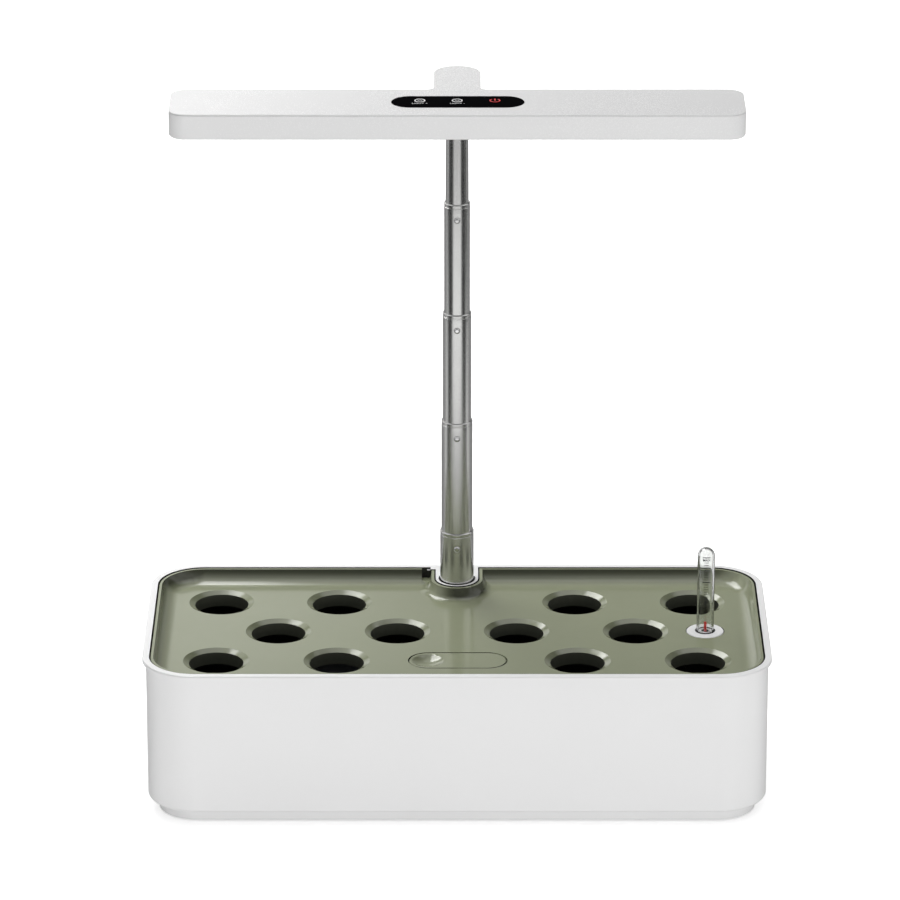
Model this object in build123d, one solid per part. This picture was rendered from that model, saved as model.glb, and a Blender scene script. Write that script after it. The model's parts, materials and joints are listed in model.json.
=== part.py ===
from build123d import *
import os
from math import atan, degrees, sqrt

# ------------------------------------------------------------------ sizes, mm
# Origin: middle of the footprint on the table. X to the right, Y to the back, Z up.

# Tank
RIM_W, RIM_D = 364.6, 172.4      # outside of the rim
RIM_Z = 94.5                     # top of the rim
RIM_CORNER = 31.0                # plan radius of the rim's corners
RIM_STEP = 2.0                   # how far the rim stands out past the wall
RIM_BAND = 2.1                   # height of the rim's outer band
RIM_EDGE = 0.3
RIM_LINE_DOWN, RIM_LINE_H, RIM_LINE_D = 0.45, 0.35, 0.5  # shadow line cut round the band
WALL_T, FLOOR_T = 1.9, 2.7
BODY_Z = 8.0                     # underside of the body, above the plinth
BODY_ROUND = 2.0
PLINTH_SET = 6.5                 # the plinth is set back this far from the wall
PLINTH_Z = 0.8                   # underside of the plinth, held up by the feet
FOOT_R, FOOT_T = 8.0, 2.2
FOOT_IN_X, FOOT_IN_Y = 36.3, 32.2   # from the rim's edges to a foot's middle
LEDGE_W, LEDGE_T = 3.0, 3.0      # ledge that carries the deck
SINK = 0.5                       # how far moulded details run into the wall they grow from
PAST = 1.0                       # how far a cutting shape runs past the face it cuts

# Deck
DECK_GAP = 0.8                   # between the deck and the tank, all round
DECK_Z = 94.1                    # top of the deck's lip
DECK_FLOOR = 87.2                # top of the deck's floor
DECK_T = 2.2
LIP_W, LIP_EDGE = 1.6, 0.3
SLOPE = 24.0                     # lean of the recess wall, degrees
COVE_R = 10.5                    # cove between the recess wall and the floor
U_LIP = 1.8                      # lip of the deck's wall round the post
U_FLARE = 7.8                    # width of the flare from that lip to the floor
U_KNEE_OUT, U_KNEE_UP, U_LEAN = 1.9, 1.6, 0.25  # where the flare turns up, and its lean at the lip

# Plant holes
HOLE_R = 15.9                    # bore for a standard grow basket
FUNNEL_R, FUNNEL_T = 19.3, 1.7
SLEEVE_T, SLEEVE_H = 1.5, 9.0    # sleeve below the floor, height from the floor's top
HOLE_END, HOLE_SIDE = 42.3, 41.5  # from the rim's edges to the outermost holes' middles
PITCH_X, PITCH_Y = (RIM_W - 2 * HOLE_END) / 4, (RIM_D - 2 * HOLE_SIDE) / 2

# Refill lid
LID_X, LID_Y = 0.4, -PITCH_Y
LID_L, LID_W, LID_T = 56.8, 23.1, 2.4
LID_GAP = 0.55
LID_PIVOT_X, LID_PIVOT_Z = -9.0, 84.0
LID_PIN_R, LID_PIN_CLEAR = 1.2, 0.1
LID_EAR_W, LID_EAR_T, LID_EAR_H, LID_EAR_IN = 5.0, 2.0, 3.2, 0.4
LID_EDGE, LID_PIN_SHORT = 0.5, 0.2
DISH_X, DISH_R, DISH_D, DISH_SKIN = -17.0, 9.4, 2.3, 1.5
PORT_T, PORT_H = 1.6, 7.4
PORT_SEAT, PORT_SEAT_T, PORT_SEAT_X = 1.2, 1.4, 5.0  # seat's width, thickness, start from the pivot

# Water gauge
GAUGE_IN = 36.4                  # from the rim's right edge to the gauge's axis
GAUGE_Z = 87.6                   # top of the collar
GAUGE_DISC_R, GAUGE_DISC_T, GAUGE_DISC_EDGE = 10.9, 1.2, 0.4
GAUGE_EYE_R, GAUGE_EYE_D = 2.2, 0.7  # countersink round the stem's hole
GAUGE_RING_R, GAUGE_RING_D = 6.0, 0.6  # groove round the foot of the tube
GAUGE_RECESS_R = 11.4
GAUGE_SPIGOT_R, GAUGE_SPIGOT_Z, GAUGE_PLUG_T = 7.0, 79.5, 2.4
GAUGE_TUBE_R, GAUGE_TUBE_T, GAUGE_TOP = 5.1, 0.9, 140.0
GAUGE_SEAT = 1.0                 # how deep the tube sits in the collar
GAUGE_CLEAR = 0.05
STEM_R, STEM_TIP, STEM_CLEAR = 0.85, 93.3, 0.25
STEM_HELD = 10.0                 # length of the stem inside the float
FLOAT_R, FLOAT_Z, FLOAT_H = 9.6, 14.0, 26.0
FLOAT_CLEAR, FLOAT_EDGE = 0.9, 1.5
CAGE_T, CAGE_STOP_T, CAGE_CAP_T, CAGE_STOP_W = 1.5, 2.0, 2.0, 2.0
CAGE_SLOT_W, CAGE_SLOT_END = 8.0, 18.0

# Post
POST_IN = 21.6                   # from the rim's back edge to the post's axis
TUBE_R = (10.0, 9.2, 8.4, 7.6, 6.8)
TUBE_T = 0.7
TUBE_TOP = (126.2, 196.0, 263.6, 331.5, 406.0)
TUBE_FOOT = 46.0                 # the lowest tube stands on the floor of its well
INSERT = 19.2                    # length of each tube inside the one below
CRIMP_DOWN, CRIMP_H, CRIMP_D = 1.8, 0.5, 0.18
TUBE_EDGE = 0.25
COLLAR_R = 12.7                  # U-shaped column that holds the post
COLLAR_T = 2.4
BUSH_T, BUSH_CLEAR, BUSH_DOWN = 0.9, 0.05, 0.8  # the liner ends this far below the rim
PAD_W, PAD_D = 3.1, 3.4          # pad beside the column, where a lead passes
PAD_UP, PAD_STEP = 1.4, 1.3      # its height above the deck's floor, and the step beside it
PAD_GAP = 0.4
NOTCH_X0, NOTCH_X1, NOTCH_D = -21.0, -15.2, 8.5
NOTCH_UP = 1.0

# Snap buttons between the tubes
BUTTON_DOWN = 9.2                # below the top of each outer tube
BUTTON_R, BUTTON_OUT, BUTTON_CLEAR = 1.7, 0.9, 0.2
LEAF_T, LEAF_W, LEAF_CLEAR = 0.4, 3.2, 0.12
LEAF_UP, LEAF_KNEE, LEAF_APEX, LEAF_BEND = 3.4, 2.8, 8.2, 0.9

# Lamp
BAR_W, BAR_Y0, BAR_Y1 = 327.8, -17.0, 31.7
BAR_D = BAR_Y1 - BAR_Y0
BAR_Z0, BAR_Z1 = 395.1, 410.15
BAR_CORNER = 9.5
TONGUE_R, TONGUE_BLEND = 13.5, 4.0
COVER_T, COVER_SEAM = 1.8, 0.25
COVER_RIM_T = 0.6                # the cover's flange over the housing's wall
COVER_LIP_T, COVER_LIP_H, COVER_FIT = 1.2, 2.0, 0.15
LAMP_T, LAMP_STEP, LAMP_FLOOR = 2.0, 1.2, 1.5
LAMP_EDGE, COVER_EDGE = 0.8, 0.2
WINDOW_SET_X, WINDOW_SET_Y = 14.5, 6.85  # from the lamp's edges to its window
WINDOW_W, WINDOW_D, WINDOW_CORNER = BAR_W - 2 * WINDOW_SET_X, BAR_D - 2 * WINDOW_SET_Y, 4.0
LENS_LAP, LENS_T = 3.0, 1.5
LENS_W, LENS_D = WINDOW_W + 2 * LENS_LAP, WINDOW_D + 2 * LENS_LAP
LED_T, LED_CHIP, LED_CHIP_T, LED_AIR = 1.6, 2.8, 0.7, 0.2
LED_GAP, LED_CORNER = 0.3, 2.0
LED_COLS, LED_ROWS, LED_PITCH_Y = 18, 3, 12.0
LED_END = 10.0                   # from the window's end to the last chip's middle
LED_PITCH_X = (WINDOW_W - 2 * LED_END) / (LED_COLS - 1)
SOCKET_T, SOCKET_CAP_T = 2.4, 1.0
BOSS_R, SCREW_R, SCREW_HEAD_R, SCREW_HEAD_T, SCREW_L = 2.6, 1.1, 2.2, 0.6, 9.0
SCREW_CLEAR, SCREW_DEEP = 0.1, 0.1
SCREW_IN, SCREW_DY, SCREW_TONGUE_Y = 6.3, 12.0, 45.0

# Touch panel
PANEL_L, PANEL_W = 75.9, 21.6
PANEL_X, PANEL_UP, PANEL_FIT = 0.3, 0.2, 0.15
PANEL_FLANGE, PANEL_FLANGE_T, PANEL_EDGE = 2.2, 1.2, 0.15
PCB_L, PCB_W, PCB_T, PCB_CORNER = 70.0, 20.0, 1.6, 2.0

# Power inlet in the back of the bar
JACK_X, JACK_R, JACK_L, JACK_CLEAR = 45.0, 3.4, 10.0, 0.1
JACK_BORE, JACK_DEPTH = 2.75, 8.5
JACK_PIN_R, JACK_PIN_IN = 1.0, 1.0   # the centre pin ends this far inside the mouth
JACK_FLANGE_R, JACK_FLANGE_T = 4.3, 0.8
JACK_LIP_GAP = 0.5

# Pump
PUMP_X, PUMP_Y = -66.0, 52.0
PUMP_L, PUMP_W, PUMP_H, PUMP_ROUND, PUMP_EDGE = 40.0, 34.0, 34.0, 4.0, 1.5
CUP_R, CUP_H, CUP_HOLLOW, CUP_STEM_R, CUP_STEM_L = 5.0, 3.5, 1.2, 2.0, 3.0
CUP_DX, CUP_DY = 13.0, 10.5       # from the pump's middle to a suction cup
CHAMBER_R, CHAMBER_L = 11.0, 11.0
ROTOR_R, ROTOR_L, ROTOR_CLEAR = 6.5, 15.0, 0.5
VANE_N, VANE_R, VANE_T, VANE_L, HUB_R = 5, 10.0, 1.4, 7.0, 3.2
DISC_R, DISC_T, DISC_GAP = 8.5, 1.2, 0.2  # disc behind the vanes
SHAFT_R, SHAFT_CLEAR, SHAFT_HELD = 1.0, 0.08, 4.0
GRILLE_T, GRILLE_SIDE, GRILLE_LOW, GRILLE_UP, GRILLE_EDGE = 3.0, 2.0, 2.0, 3.0, 1.0
GRILLE_SLOTS, GRILLE_PITCH, GRILLE_SLOT_L, GRILLE_SLOT_W = 5, 5.2, 18.0, 2.4
GRILLE_SKIN = 1.0                # left outside the shaft's end
NOZZLE_R, NOZZLE_T, NOZZLE_H = 5.0, 1.5, 11.0
NOZZLE_FOOT_W, NOZZLE_FOOT_T = 1.2, 1.6

# -------------------------------------------------------------- derived sizes
WALL_W, WALL_D = RIM_W - 2 * RIM_STEP, RIM_D - 2 * RIM_STEP
WALL_CORNER = RIM_CORNER - RIM_STEP
FOOT_X, FOOT_Y = RIM_W / 2 - FOOT_IN_X, RIM_D / 2 - FOOT_IN_Y
GAUGE_X = RIM_W / 2 - GAUGE_IN
POST_Y = RIM_D / 2 - POST_IN
DECK_UNDER = DECK_FLOOR - DECK_T
BODY_FLOOR = BODY_Z + FLOOR_T
PLINTH_FLOOR = PLINTH_Z + FLOOR_T
DECK_SET = WALL_T + DECK_GAP     # from the tank's wall to the deck's edge
SLOT_R = COLLAR_R + DECK_GAP
HOLES = [(c * PITCH_X, r * PITCH_Y) for r in (-1, 1) for c in (-2, -1, 1, 2)]
HOLES += [(c * PITCH_X, 0) for c in (-1.5, -0.5, 0.5, 1.5)]
COVER_Z = BAR_Z1 - COVER_T       # underside of the lamp's cover
COVER_RIM_Z = BAR_Z1 - COVER_RIM_T
HOUSING_Z = COVER_RIM_Z - COVER_SEAM
LENS_Z = BAR_Z0 + LAMP_FLOOR
LED_Z = LENS_Z + LENS_T + LED_AIR + LED_CHIP_T
JACK_Z = (LED_Z + LED_T + COVER_Z) / 2  # halfway between the light board and the cover
JACK_FACE = BAR_Y1 + JACK_FLANGE_T
SCREW_X = BAR_W / 2 - SCREW_IN
BAR_Y = (BAR_Y0 + BAR_Y1) / 2
PUMP_Z = PLINTH_FLOOR + CUP_H
PUMP_AXIS = PUMP_Z + PUMP_H / 2
PUMP_FACE = PUMP_X + PUMP_L / 2  # the side that draws water in
CHAMBER_X = PUMP_FACE - CHAMBER_L    # the chamber's inner end, where the rotor's well starts
NOZZLE_X = PUMP_FACE - CHAMBER_L / 2
LID_TOP = DECK_FLOOR
CAGE_R = FLOAT_R + FLOAT_CLEAR   # inside of the float's cage


# -------------------------------------------------------------------- helpers
def wall_outline(inset):
    """The tank's plan, moved in from the outside of its wall."""
    return RectangleRounded(WALL_W - 2 * inset, WALL_D - 2 * inset, WALL_CORNER - inset)


def prism(face, z0, z1, taper=0):
    """A face at height zero, raised from z0 to z1."""
    return extrude(Pos(0, 0, z0) * face, z1 - z0, dir=(0, 0, 1), taper=taper)


def stadium(length, width):
    return SlotOverall(length, width)


def u_shape(radius, back):
    """A half disc round the post, carried straight back to the line Y = back."""
    run = back - POST_Y
    return Pos(0, POST_Y) * (Circle(radius) + Pos(0, run / 2) * Rectangle(2 * radius, run))


def rod(radius, z0, z1, x=0.0, y=0.0):
    return Pos(x, y, (z0 + z1) / 2) * Cylinder(radius, z1 - z0)


def rod_x(radius, x0, x1, y, z):
    return Pos((x0 + x1) / 2, y, z) * Rot(0, 90, 0) * Cylinder(radius, x1 - x0)


def rod_y(radius, y0, y1, x, z):
    return Pos(x, (y0 + y1) / 2, z) * Rot(90, 0, 0) * Cylinder(radius, y1 - y0)


def block(x0, x1, y0, y1, z0, z1):
    return Pos((x0 + x1) / 2, (y0 + y1) / 2, (z0 + z1) / 2) * Box(x1 - x0, y1 - y0, z1 - z0)


def turned(points):
    """A solid of revolution about Z from (radius, height) points."""
    return revolve(make_face(Plane.XZ * Polyline(*points, close=True)), Axis.Z)


def edges_at(solid, z):
    return [e for e in solid.edges() if abs(e.bounding_box().min.Z - z) < 1e-3
            and abs(e.bounding_box().max.Z - z) < 1e-3]


# ----------------------------------------------------------------------- tank
def tank_shell():
    body = fillet(edges_at(prism(wall_outline(0), BODY_Z, RIM_Z), BODY_Z), BODY_ROUND)
    rim = prism(wall_outline(-RIM_STEP), RIM_Z - RIM_BAND, RIM_Z)
    rim = chamfer(edges_at(rim, RIM_Z), RIM_EDGE) - rim_line()
    plinth = prism(wall_outline(PLINTH_SET), PLINTH_Z, BODY_Z + BODY_ROUND)
    shell = body + rim + plinth

    hollow = prism(wall_outline(WALL_T), BODY_FLOOR, RIM_Z)
    shell -= hollow + prism(wall_outline(PLINTH_SET + WALL_T), PLINTH_FLOOR, BODY_FLOOR + BODY_ROUND)
    shell += deck_ledge() + post_column()

    shell -= prism(u_shape(COLLAR_R - COLLAR_T, WALL_D / 2 - PLINTH_SET - WALL_T), 0, TUBE_FOOT - COLLAR_T)
    shell -= rod(TUBE_R[0] + BUSH_T + 2 * BUSH_CLEAR, TUBE_FOOT, RIM_Z, 0, POST_Y)
    for x in (-FOOT_X, FOOT_X):
        for y in (-FOOT_Y, FOOT_Y):
            shell -= rod(FOOT_R + BUSH_CLEAR, 0, FOOT_T, x, y)
    return shell


def rim_line():
    """A fine groove round the outside of the rim's band."""
    top = RIM_Z - RIM_LINE_DOWN
    ring = prism(wall_outline(-RIM_STEP - PAST), top - RIM_LINE_H, top)
    return ring - prism(wall_outline(RIM_LINE_D - RIM_STEP), top - RIM_LINE_H, top)


def deck_ledge():
    """A shelf round the inside of the wall, with a sloping underside."""
    low = DECK_UNDER - LEDGE_T - LEDGE_W
    ring = prism(wall_outline(WALL_T - SINK), low, DECK_UNDER)
    ring -= prism(wall_outline(WALL_T + LEDGE_W), low, DECK_UNDER)
    return ring - prism(wall_outline(WALL_T), low, DECK_UNDER - LEDGE_T,
                        taper=degrees(atan(LEDGE_W / LEDGE_W)))


def post_column():
    """The column that carries the post, with the pad beside it at the rim."""
    back = WALL_D / 2 - WALL_T / 2
    column = prism(u_shape(COLLAR_R, back), BODY_Z + BODY_ROUND, RIM_Z)
    foot = u_shape(COLLAR_R, WALL_D / 2 - PLINTH_SET - SINK)
    column += prism(foot, PLINTH_FLOOR - SINK, BODY_Z + BODY_ROUND)
    edge = WALL_D / 2 - WALL_T
    low = DECK_FLOOR + PAD_UP
    pad = block(-COLLAR_R - PAD_W, -COLLAR_R + PAST, edge - PAD_D, back, low, RIM_Z)
    step = block(-COLLAR_R - 2 * PAD_W + PAST, -COLLAR_R - PAD_W + SINK, edge - PAD_D / 2, back,
                 low, RIM_Z - PAD_STEP)
    return column + pad + step


def rubber_feet():
    return [rod(FOOT_R, 0, FOOT_T, x, y) for x in (-FOOT_X, FOOT_X) for y in (-FOOT_Y, FOOT_Y)]


def post_bush():
    inner = TUBE_R[0] + BUSH_CLEAR
    top = RIM_Z - BUSH_DOWN
    bush = rod(inner + BUSH_T, TUBE_FOOT, top, 0, POST_Y) - rod(inner, TUBE_FOOT, top, 0, POST_Y)
    return chamfer(edges_at(bush, top), TUBE_EDGE)


# ----------------------------------------------------------------------- deck
def recess():
    """The space above the deck's floor: leaning walls that end in a cove."""
    depth = DECK_Z - DECK_FLOOR
    space = extrude(Pos(0, 0, DECK_Z) * wall_outline(DECK_SET + LIP_W), depth, dir=(0, 0, -1), taper=SLOPE)
    return fillet(edges_at(space, DECK_FLOOR), COVE_R)


def u_wall():
    """The deck's wall round the post: a lip, then a cove that flares to the floor."""
    inner, lip = SLOT_R - PAST, SLOT_R + U_LIP
    out = lip + U_FLARE
    cove = Spline((out, DECK_FLOOR), (lip + U_KNEE_OUT, DECK_FLOOR + U_KNEE_UP), (lip, DECK_Z),
                  tangents=[(-1, 0), (-U_LEAN, 1)])
    side = Polyline((lip, DECK_Z), (inner, DECK_Z), (inner, DECK_UNDER), (out, DECK_UNDER), (out, DECK_FLOOR))
    section = make_face(Plane.XZ * (Curve() + [cove, *side.edges()]))
    run = WALL_D / 2 - DECK_SET - POST_Y
    wall = revolve(section, Axis.Z, 360)
    straight = extrude(section, run, dir=(0, 1, 0))
    wall += straight + mirror(straight, Plane.YZ)
    wall = Pos(0, POST_Y, 0) * wall
    return wall & prism(wall_outline(DECK_SET), DECK_UNDER, DECK_Z)


def hole_cutter():
    """The funnel and bore of one plant hole."""
    top = DECK_FLOOR + PAST
    flare = FUNNEL_R + PAST * (FUNNEL_R - HOLE_R) / FUNNEL_T
    base = DECK_FLOOR - SLEEVE_H
    return turned([(0, base), (HOLE_R, base), (HOLE_R, DECK_FLOOR - FUNNEL_T), (flare, top), (0, top)])


def refill_port():
    """The skirt below the refill opening."""
    skirt = prism(stadium(LID_L + 2 * (LID_GAP + PORT_T), LID_W + 2 * (LID_GAP + PORT_T)),
                  DECK_FLOOR - PORT_H, DECK_FLOOR - SINK)
    return Pos(LID_X, LID_Y) * skirt


def refill_cut():
    """The opening, with a seat on the long side of the pivot and holes for the lid's pins."""
    opening = stadium(LID_L + 2 * LID_GAP, LID_W + 2 * LID_GAP)
    inner = stadium(LID_L + 2 * (LID_GAP - PORT_SEAT), LID_W + 2 * (LID_GAP - PORT_SEAT))
    seat = LID_TOP - LID_T
    low = DECK_FLOOR - PORT_H
    cut = prism(opening, low, DECK_FLOOR)
    keep = prism(opening, seat - PORT_SEAT_T, seat) - prism(inner, seat - PORT_SEAT_T, seat)
    cut -= keep & block(LID_PIVOT_X - LID_X + PORT_SEAT_X, LID_L, -LID_W, LID_W, low, DECK_FLOOR)
    cut = Pos(LID_X, LID_Y, 0) * cut
    reach = LID_W / 2 + LID_GAP + PORT_T + PAST
    return cut + rod_y(LID_PIN_R + LID_PIN_CLEAR, LID_Y - reach, LID_Y + reach, LID_PIVOT_X, LID_PIVOT_Z)


def deck_tray():
    tray = prism(wall_outline(DECK_SET), DECK_UNDER, DECK_Z)
    tray = chamfer(edges_at(tray, DECK_Z), LIP_EDGE) - recess()
    tray += u_wall()
    sleeve = rod(HOLE_R + SLEEVE_T, DECK_FLOOR - SLEEVE_H, DECK_FLOOR - SINK)
    tray += [Pos(x, y, 0) * sleeve for x, y in HOLES]
    tray += refill_port()

    tray -= prism(u_shape(SLOT_R, WALL_D / 2), DECK_UNDER - PAST, DECK_Z + PAST)
    cutter = hole_cutter()
    tray -= [Pos(x, y, 0) * cutter for x, y in HOLES]
    tray -= refill_cut()
    tray -= rod(GAUGE_SPIGOT_R + GAUGE_CLEAR, DECK_UNDER, DECK_FLOOR, GAUGE_X)
    tray -= rod(GAUGE_RECESS_R, GAUGE_Z - GAUGE_DISC_T, DECK_FLOOR, GAUGE_X)
    return tray - lead_notch()


def lead_notch():
    """A pocket through the lip beside the post, and room for the tank's pad."""
    back, low = WALL_D / 2 - DECK_SET, DECK_FLOOR + NOTCH_UP
    top = DECK_Z + PAST
    pad = block(NOTCH_X0, -SLOT_R + PAST, WALL_D / 2 - WALL_T - PAD_D - PAD_GAP, back + PAST, low, top)
    return pad + block(NOTCH_X0, NOTCH_X1, back - NOTCH_D, back + PAST, low, top)


def refill_lid():
    plate = prism(stadium(LID_L, LID_W), LID_TOP - LID_T, LID_TOP)
    plate = chamfer(edges_at(plate, LID_TOP), LID_EDGE)
    ball = (DISH_R ** 2 + DISH_D ** 2) / (2 * DISH_D)
    centre = Pos(DISH_X - LID_X, 0, LID_TOP - DISH_D + ball)
    below = rod(DISH_R + DISH_SKIN, LID_TOP - ball, LID_TOP - LID_T / 2, DISH_X - LID_X)
    bulge = centre * Sphere(ball + DISH_SKIN) & below
    plate = Pos(LID_X, LID_Y, 0) * (plate + bulge - centre * Sphere(ball))
    x0, x1 = LID_PIVOT_X - LID_EAR_W / 2, LID_PIVOT_X + LID_EAR_W / 2
    low = LID_PIVOT_Z - LID_EAR_H / 2
    for side in (-1, 1):
        outer = LID_Y + side * (LID_W / 2 - LID_EAR_IN)
        inner = outer - side * LID_EAR_T
        tip = LID_Y + side * (LID_W / 2 + LID_GAP + PORT_T - LID_PIN_SHORT)
        plate += block(x0, x1, min(inner, outer), max(inner, outer), low, LID_TOP - LID_T + SINK)
        plate += rod_y(LID_PIN_R, min(inner, tip), max(inner, tip), LID_PIVOT_X, LID_PIVOT_Z)
    return plate


# ---------------------------------------------------------------- water gauge
def gauge_collar():
    """Disc on the deck with a grooved seat for the clear tube and a spigot below."""
    under = GAUGE_Z - GAUGE_DISC_T
    disc = chamfer(edges_at(rod(GAUGE_DISC_R, under, GAUGE_Z), GAUGE_Z), GAUGE_DISC_EDGE)
    part = disc + rod(GAUGE_SPIGOT_R, GAUGE_SPIGOT_Z, under)
    outer, inner = GAUGE_TUBE_R + GAUGE_CLEAR, GAUGE_TUBE_R - GAUGE_TUBE_T - GAUGE_CLEAR
    part -= rod(outer, GAUGE_Z - GAUGE_SEAT, GAUGE_Z) - rod(inner, GAUGE_Z - GAUGE_SEAT, GAUGE_Z)
    part -= rod(GAUGE_RING_R, GAUGE_Z - GAUGE_RING_D, GAUGE_Z) - rod(inner, GAUGE_Z - GAUGE_RING_D, GAUGE_Z)
    part -= rod(STEM_R + STEM_CLEAR, GAUGE_SPIGOT_Z, GAUGE_Z)
    part -= rod(GAUGE_EYE_R, GAUGE_Z - GAUGE_EYE_D, GAUGE_Z)
    part -= rod(GAUGE_SPIGOT_R - CAGE_T, GAUGE_SPIGOT_Z, under - GAUGE_PLUG_T)
    return Pos(GAUGE_X, 0, 0) * part


def gauge_tube():
    """Clear tube closed by a dome."""
    base = GAUGE_Z - GAUGE_SEAT
    inner = GAUGE_TUBE_R - GAUGE_TUBE_T
    spring = GAUGE_TOP - GAUGE_TUBE_R
    outside = rod(GAUGE_TUBE_R, base, spring) + Pos(0, 0, spring) * Sphere(GAUGE_TUBE_R)
    inside = rod(inner, base, spring) + Pos(0, 0, spring) * Sphere(inner)
    return Pos(GAUGE_X, 0, 0) * (outside - inside)


def float_cage():
    """Slotted cage that hangs below the deck and guides the float."""
    low = FLOAT_Z - CAGE_STOP_T
    cage = rod(CAGE_R + CAGE_T, low, DECK_UNDER)
    cage -= rod(CAGE_R, FLOAT_Z, DECK_UNDER - CAGE_CAP_T) + rod(FLOAT_R - CAGE_STOP_W, low, FLOAT_Z)
    cage -= rod(GAUGE_SPIGOT_R + GAUGE_CLEAR, DECK_UNDER - CAGE_CAP_T, DECK_UNDER)
    half = CAGE_R + CAGE_T + PAST
    z0, z1 = FLOAT_Z + CAGE_SLOT_END, DECK_UNDER - CAGE_CAP_T - CAGE_SLOT_END
    cage -= block(-half, half, -CAGE_SLOT_W / 2, CAGE_SLOT_W / 2, z0, z1)
    cage -= block(-CAGE_SLOT_W / 2, CAGE_SLOT_W / 2, -half, half, z0, z1)
    return Pos(GAUGE_X, 0, 0) * cage


def float_body():
    body = rod(FLOAT_R, FLOAT_Z, FLOAT_Z + FLOAT_H)
    body = chamfer(edges_at(body, FLOAT_Z) + edges_at(body, FLOAT_Z + FLOAT_H), FLOAT_EDGE)
    return Pos(GAUGE_X, 0, 0) * (body - rod(STEM_R, FLOAT_Z + FLOAT_H - STEM_HELD, FLOAT_Z + FLOAT_H))


def float_stem():
    stem = rod(STEM_R, FLOAT_Z + FLOAT_H - STEM_HELD, STEM_TIP, GAUGE_X)
    return chamfer(edges_at(stem, STEM_TIP), STEM_R / 2)


# ----------------------------------------------------------------------- post
def post_tube(n):
    """One tube of the post, 0 lowest: crimped at its top, with its button holes."""
    radius, top = TUBE_R[n], TUBE_TOP[n]
    foot = TUBE_FOOT if n == 0 else TUBE_TOP[n - 1] - INSERT
    tube = rod(radius, foot, top)
    if n < 4:
        z = top - CRIMP_DOWN
        tube = chamfer(edges_at(tube, top), TUBE_EDGE)
        tube -= rod(radius + PAST, z - CRIMP_H, z) - rod(radius - CRIMP_D, z - CRIMP_H, z)
    tube -= rod(radius - TUBE_T, foot, top)
    hole = BUTTON_R + BUTTON_CLEAR
    if n < 4:
        tube -= rod_y(hole, -radius - PAST, 0, 0, top - BUTTON_DOWN)
    if n > 0:
        tube -= rod_y(hole, -radius - PAST, 0, 0, TUBE_TOP[n - 1] - BUTTON_DOWN)
    return Pos(0, POST_Y, 0) * tube


def snap_spring(n):
    """V-shaped leaf inside tube n + 1 that pushes a domed button out through tube n."""
    z = TUBE_TOP[n] - BUTTON_DOWN
    bore = TUBE_R[n + 1] - TUBE_T
    face = sqrt(bore ** 2 - (LEAF_W / 2) ** 2) - LEAF_CLEAR
    mid = face - LEAF_T / 2
    path = FilletPolyline((-mid, z + LEAF_UP), (-mid, z - LEAF_KNEE), (0, z - LEAF_APEX),
                          (mid, z - LEAF_KNEE), (mid, z + LEAF_UP), radius=LEAF_BEND)
    leaf = extrude(Plane.YZ * trace(path, LEAF_T), LEAF_W / 2, both=True)
    tip = TUBE_R[n] + BUTTON_OUT
    button = rod_y(BUTTON_R, -tip, -mid, 0, z)
    front = [e for e in button.edges() if abs(e.bounding_box().max.Y + tip) < 1e-3]
    return Pos(0, POST_Y, 0) * (leaf + fillet(front, BUTTON_OUT))


# ----------------------------------------------------------------------- lamp
def lamp_outline(inset=0.0):
    """The lamp's plan: a long bar with a tongue back to the post."""
    bar = Pos(0, BAR_Y) * RectangleRounded(BAR_W - 2 * inset, BAR_D - 2 * inset, BAR_CORNER - inset)
    run = POST_Y - BAR_Y
    half = TONGUE_R - inset
    plan = bar + Pos(0, POST_Y) * Circle(half) + Pos(0, BAR_Y + run / 2) * Rectangle(2 * half, run)
    inner = [v for v in plan.vertices() if abs(abs(v.X) - half) < 1e-3 and abs(v.Y - BAR_Y1 + inset) < 1e-3]
    return fillet(inner, TONGUE_BLEND + inset)


def screw_places():
    places = [(x, BAR_Y + y) for x in (-SCREW_X, SCREW_X) for y in (-SCREW_DY, SCREW_DY)]
    return places + [(0, SCREW_TONGUE_Y)]


def lamp_housing():
    """Tray with a stepped wall for the light board, a window below and the post's socket."""
    shell = prism(lamp_outline(), BAR_Z0, HOUSING_Z)
    shell = chamfer(edges_at(shell, BAR_Z0), LAMP_EDGE)
    shell -= prism(lamp_outline(LAMP_T), LED_Z, HOUSING_Z)
    shell -= prism(lamp_outline(LAMP_T + LAMP_STEP), LENS_Z, LED_Z)
    shell -= prism(Pos(0, BAR_Y) * RectangleRounded(WINDOW_W, WINDOW_D, WINDOW_CORNER), BAR_Z0, LENS_Z)
    shell += rod(TUBE_R[4] + SOCKET_T, BAR_Z0 + SINK, TUBE_TOP[4] + SOCKET_CAP_T, 0, POST_Y)
    shell -= rod(TUBE_R[4] + BUSH_CLEAR, BAR_Z0, TUBE_TOP[4], 0, POST_Y)
    for x, y in screw_places():
        shell -= rod(SCREW_R + SCREW_CLEAR, BAR_Z0, LENS_Z, x, y)
        shell -= rod(SCREW_HEAD_R + SCREW_CLEAR, BAR_Z0, BAR_Z0 + SCREW_DEEP + SCREW_HEAD_T, x, y)
    inside = BAR_Y1 - LAMP_T - LAMP_STEP - PAST
    return shell - rod_y(JACK_R + JACK_CLEAR, inside, BAR_Y1 + PAST, JACK_X, JACK_Z)


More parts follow.
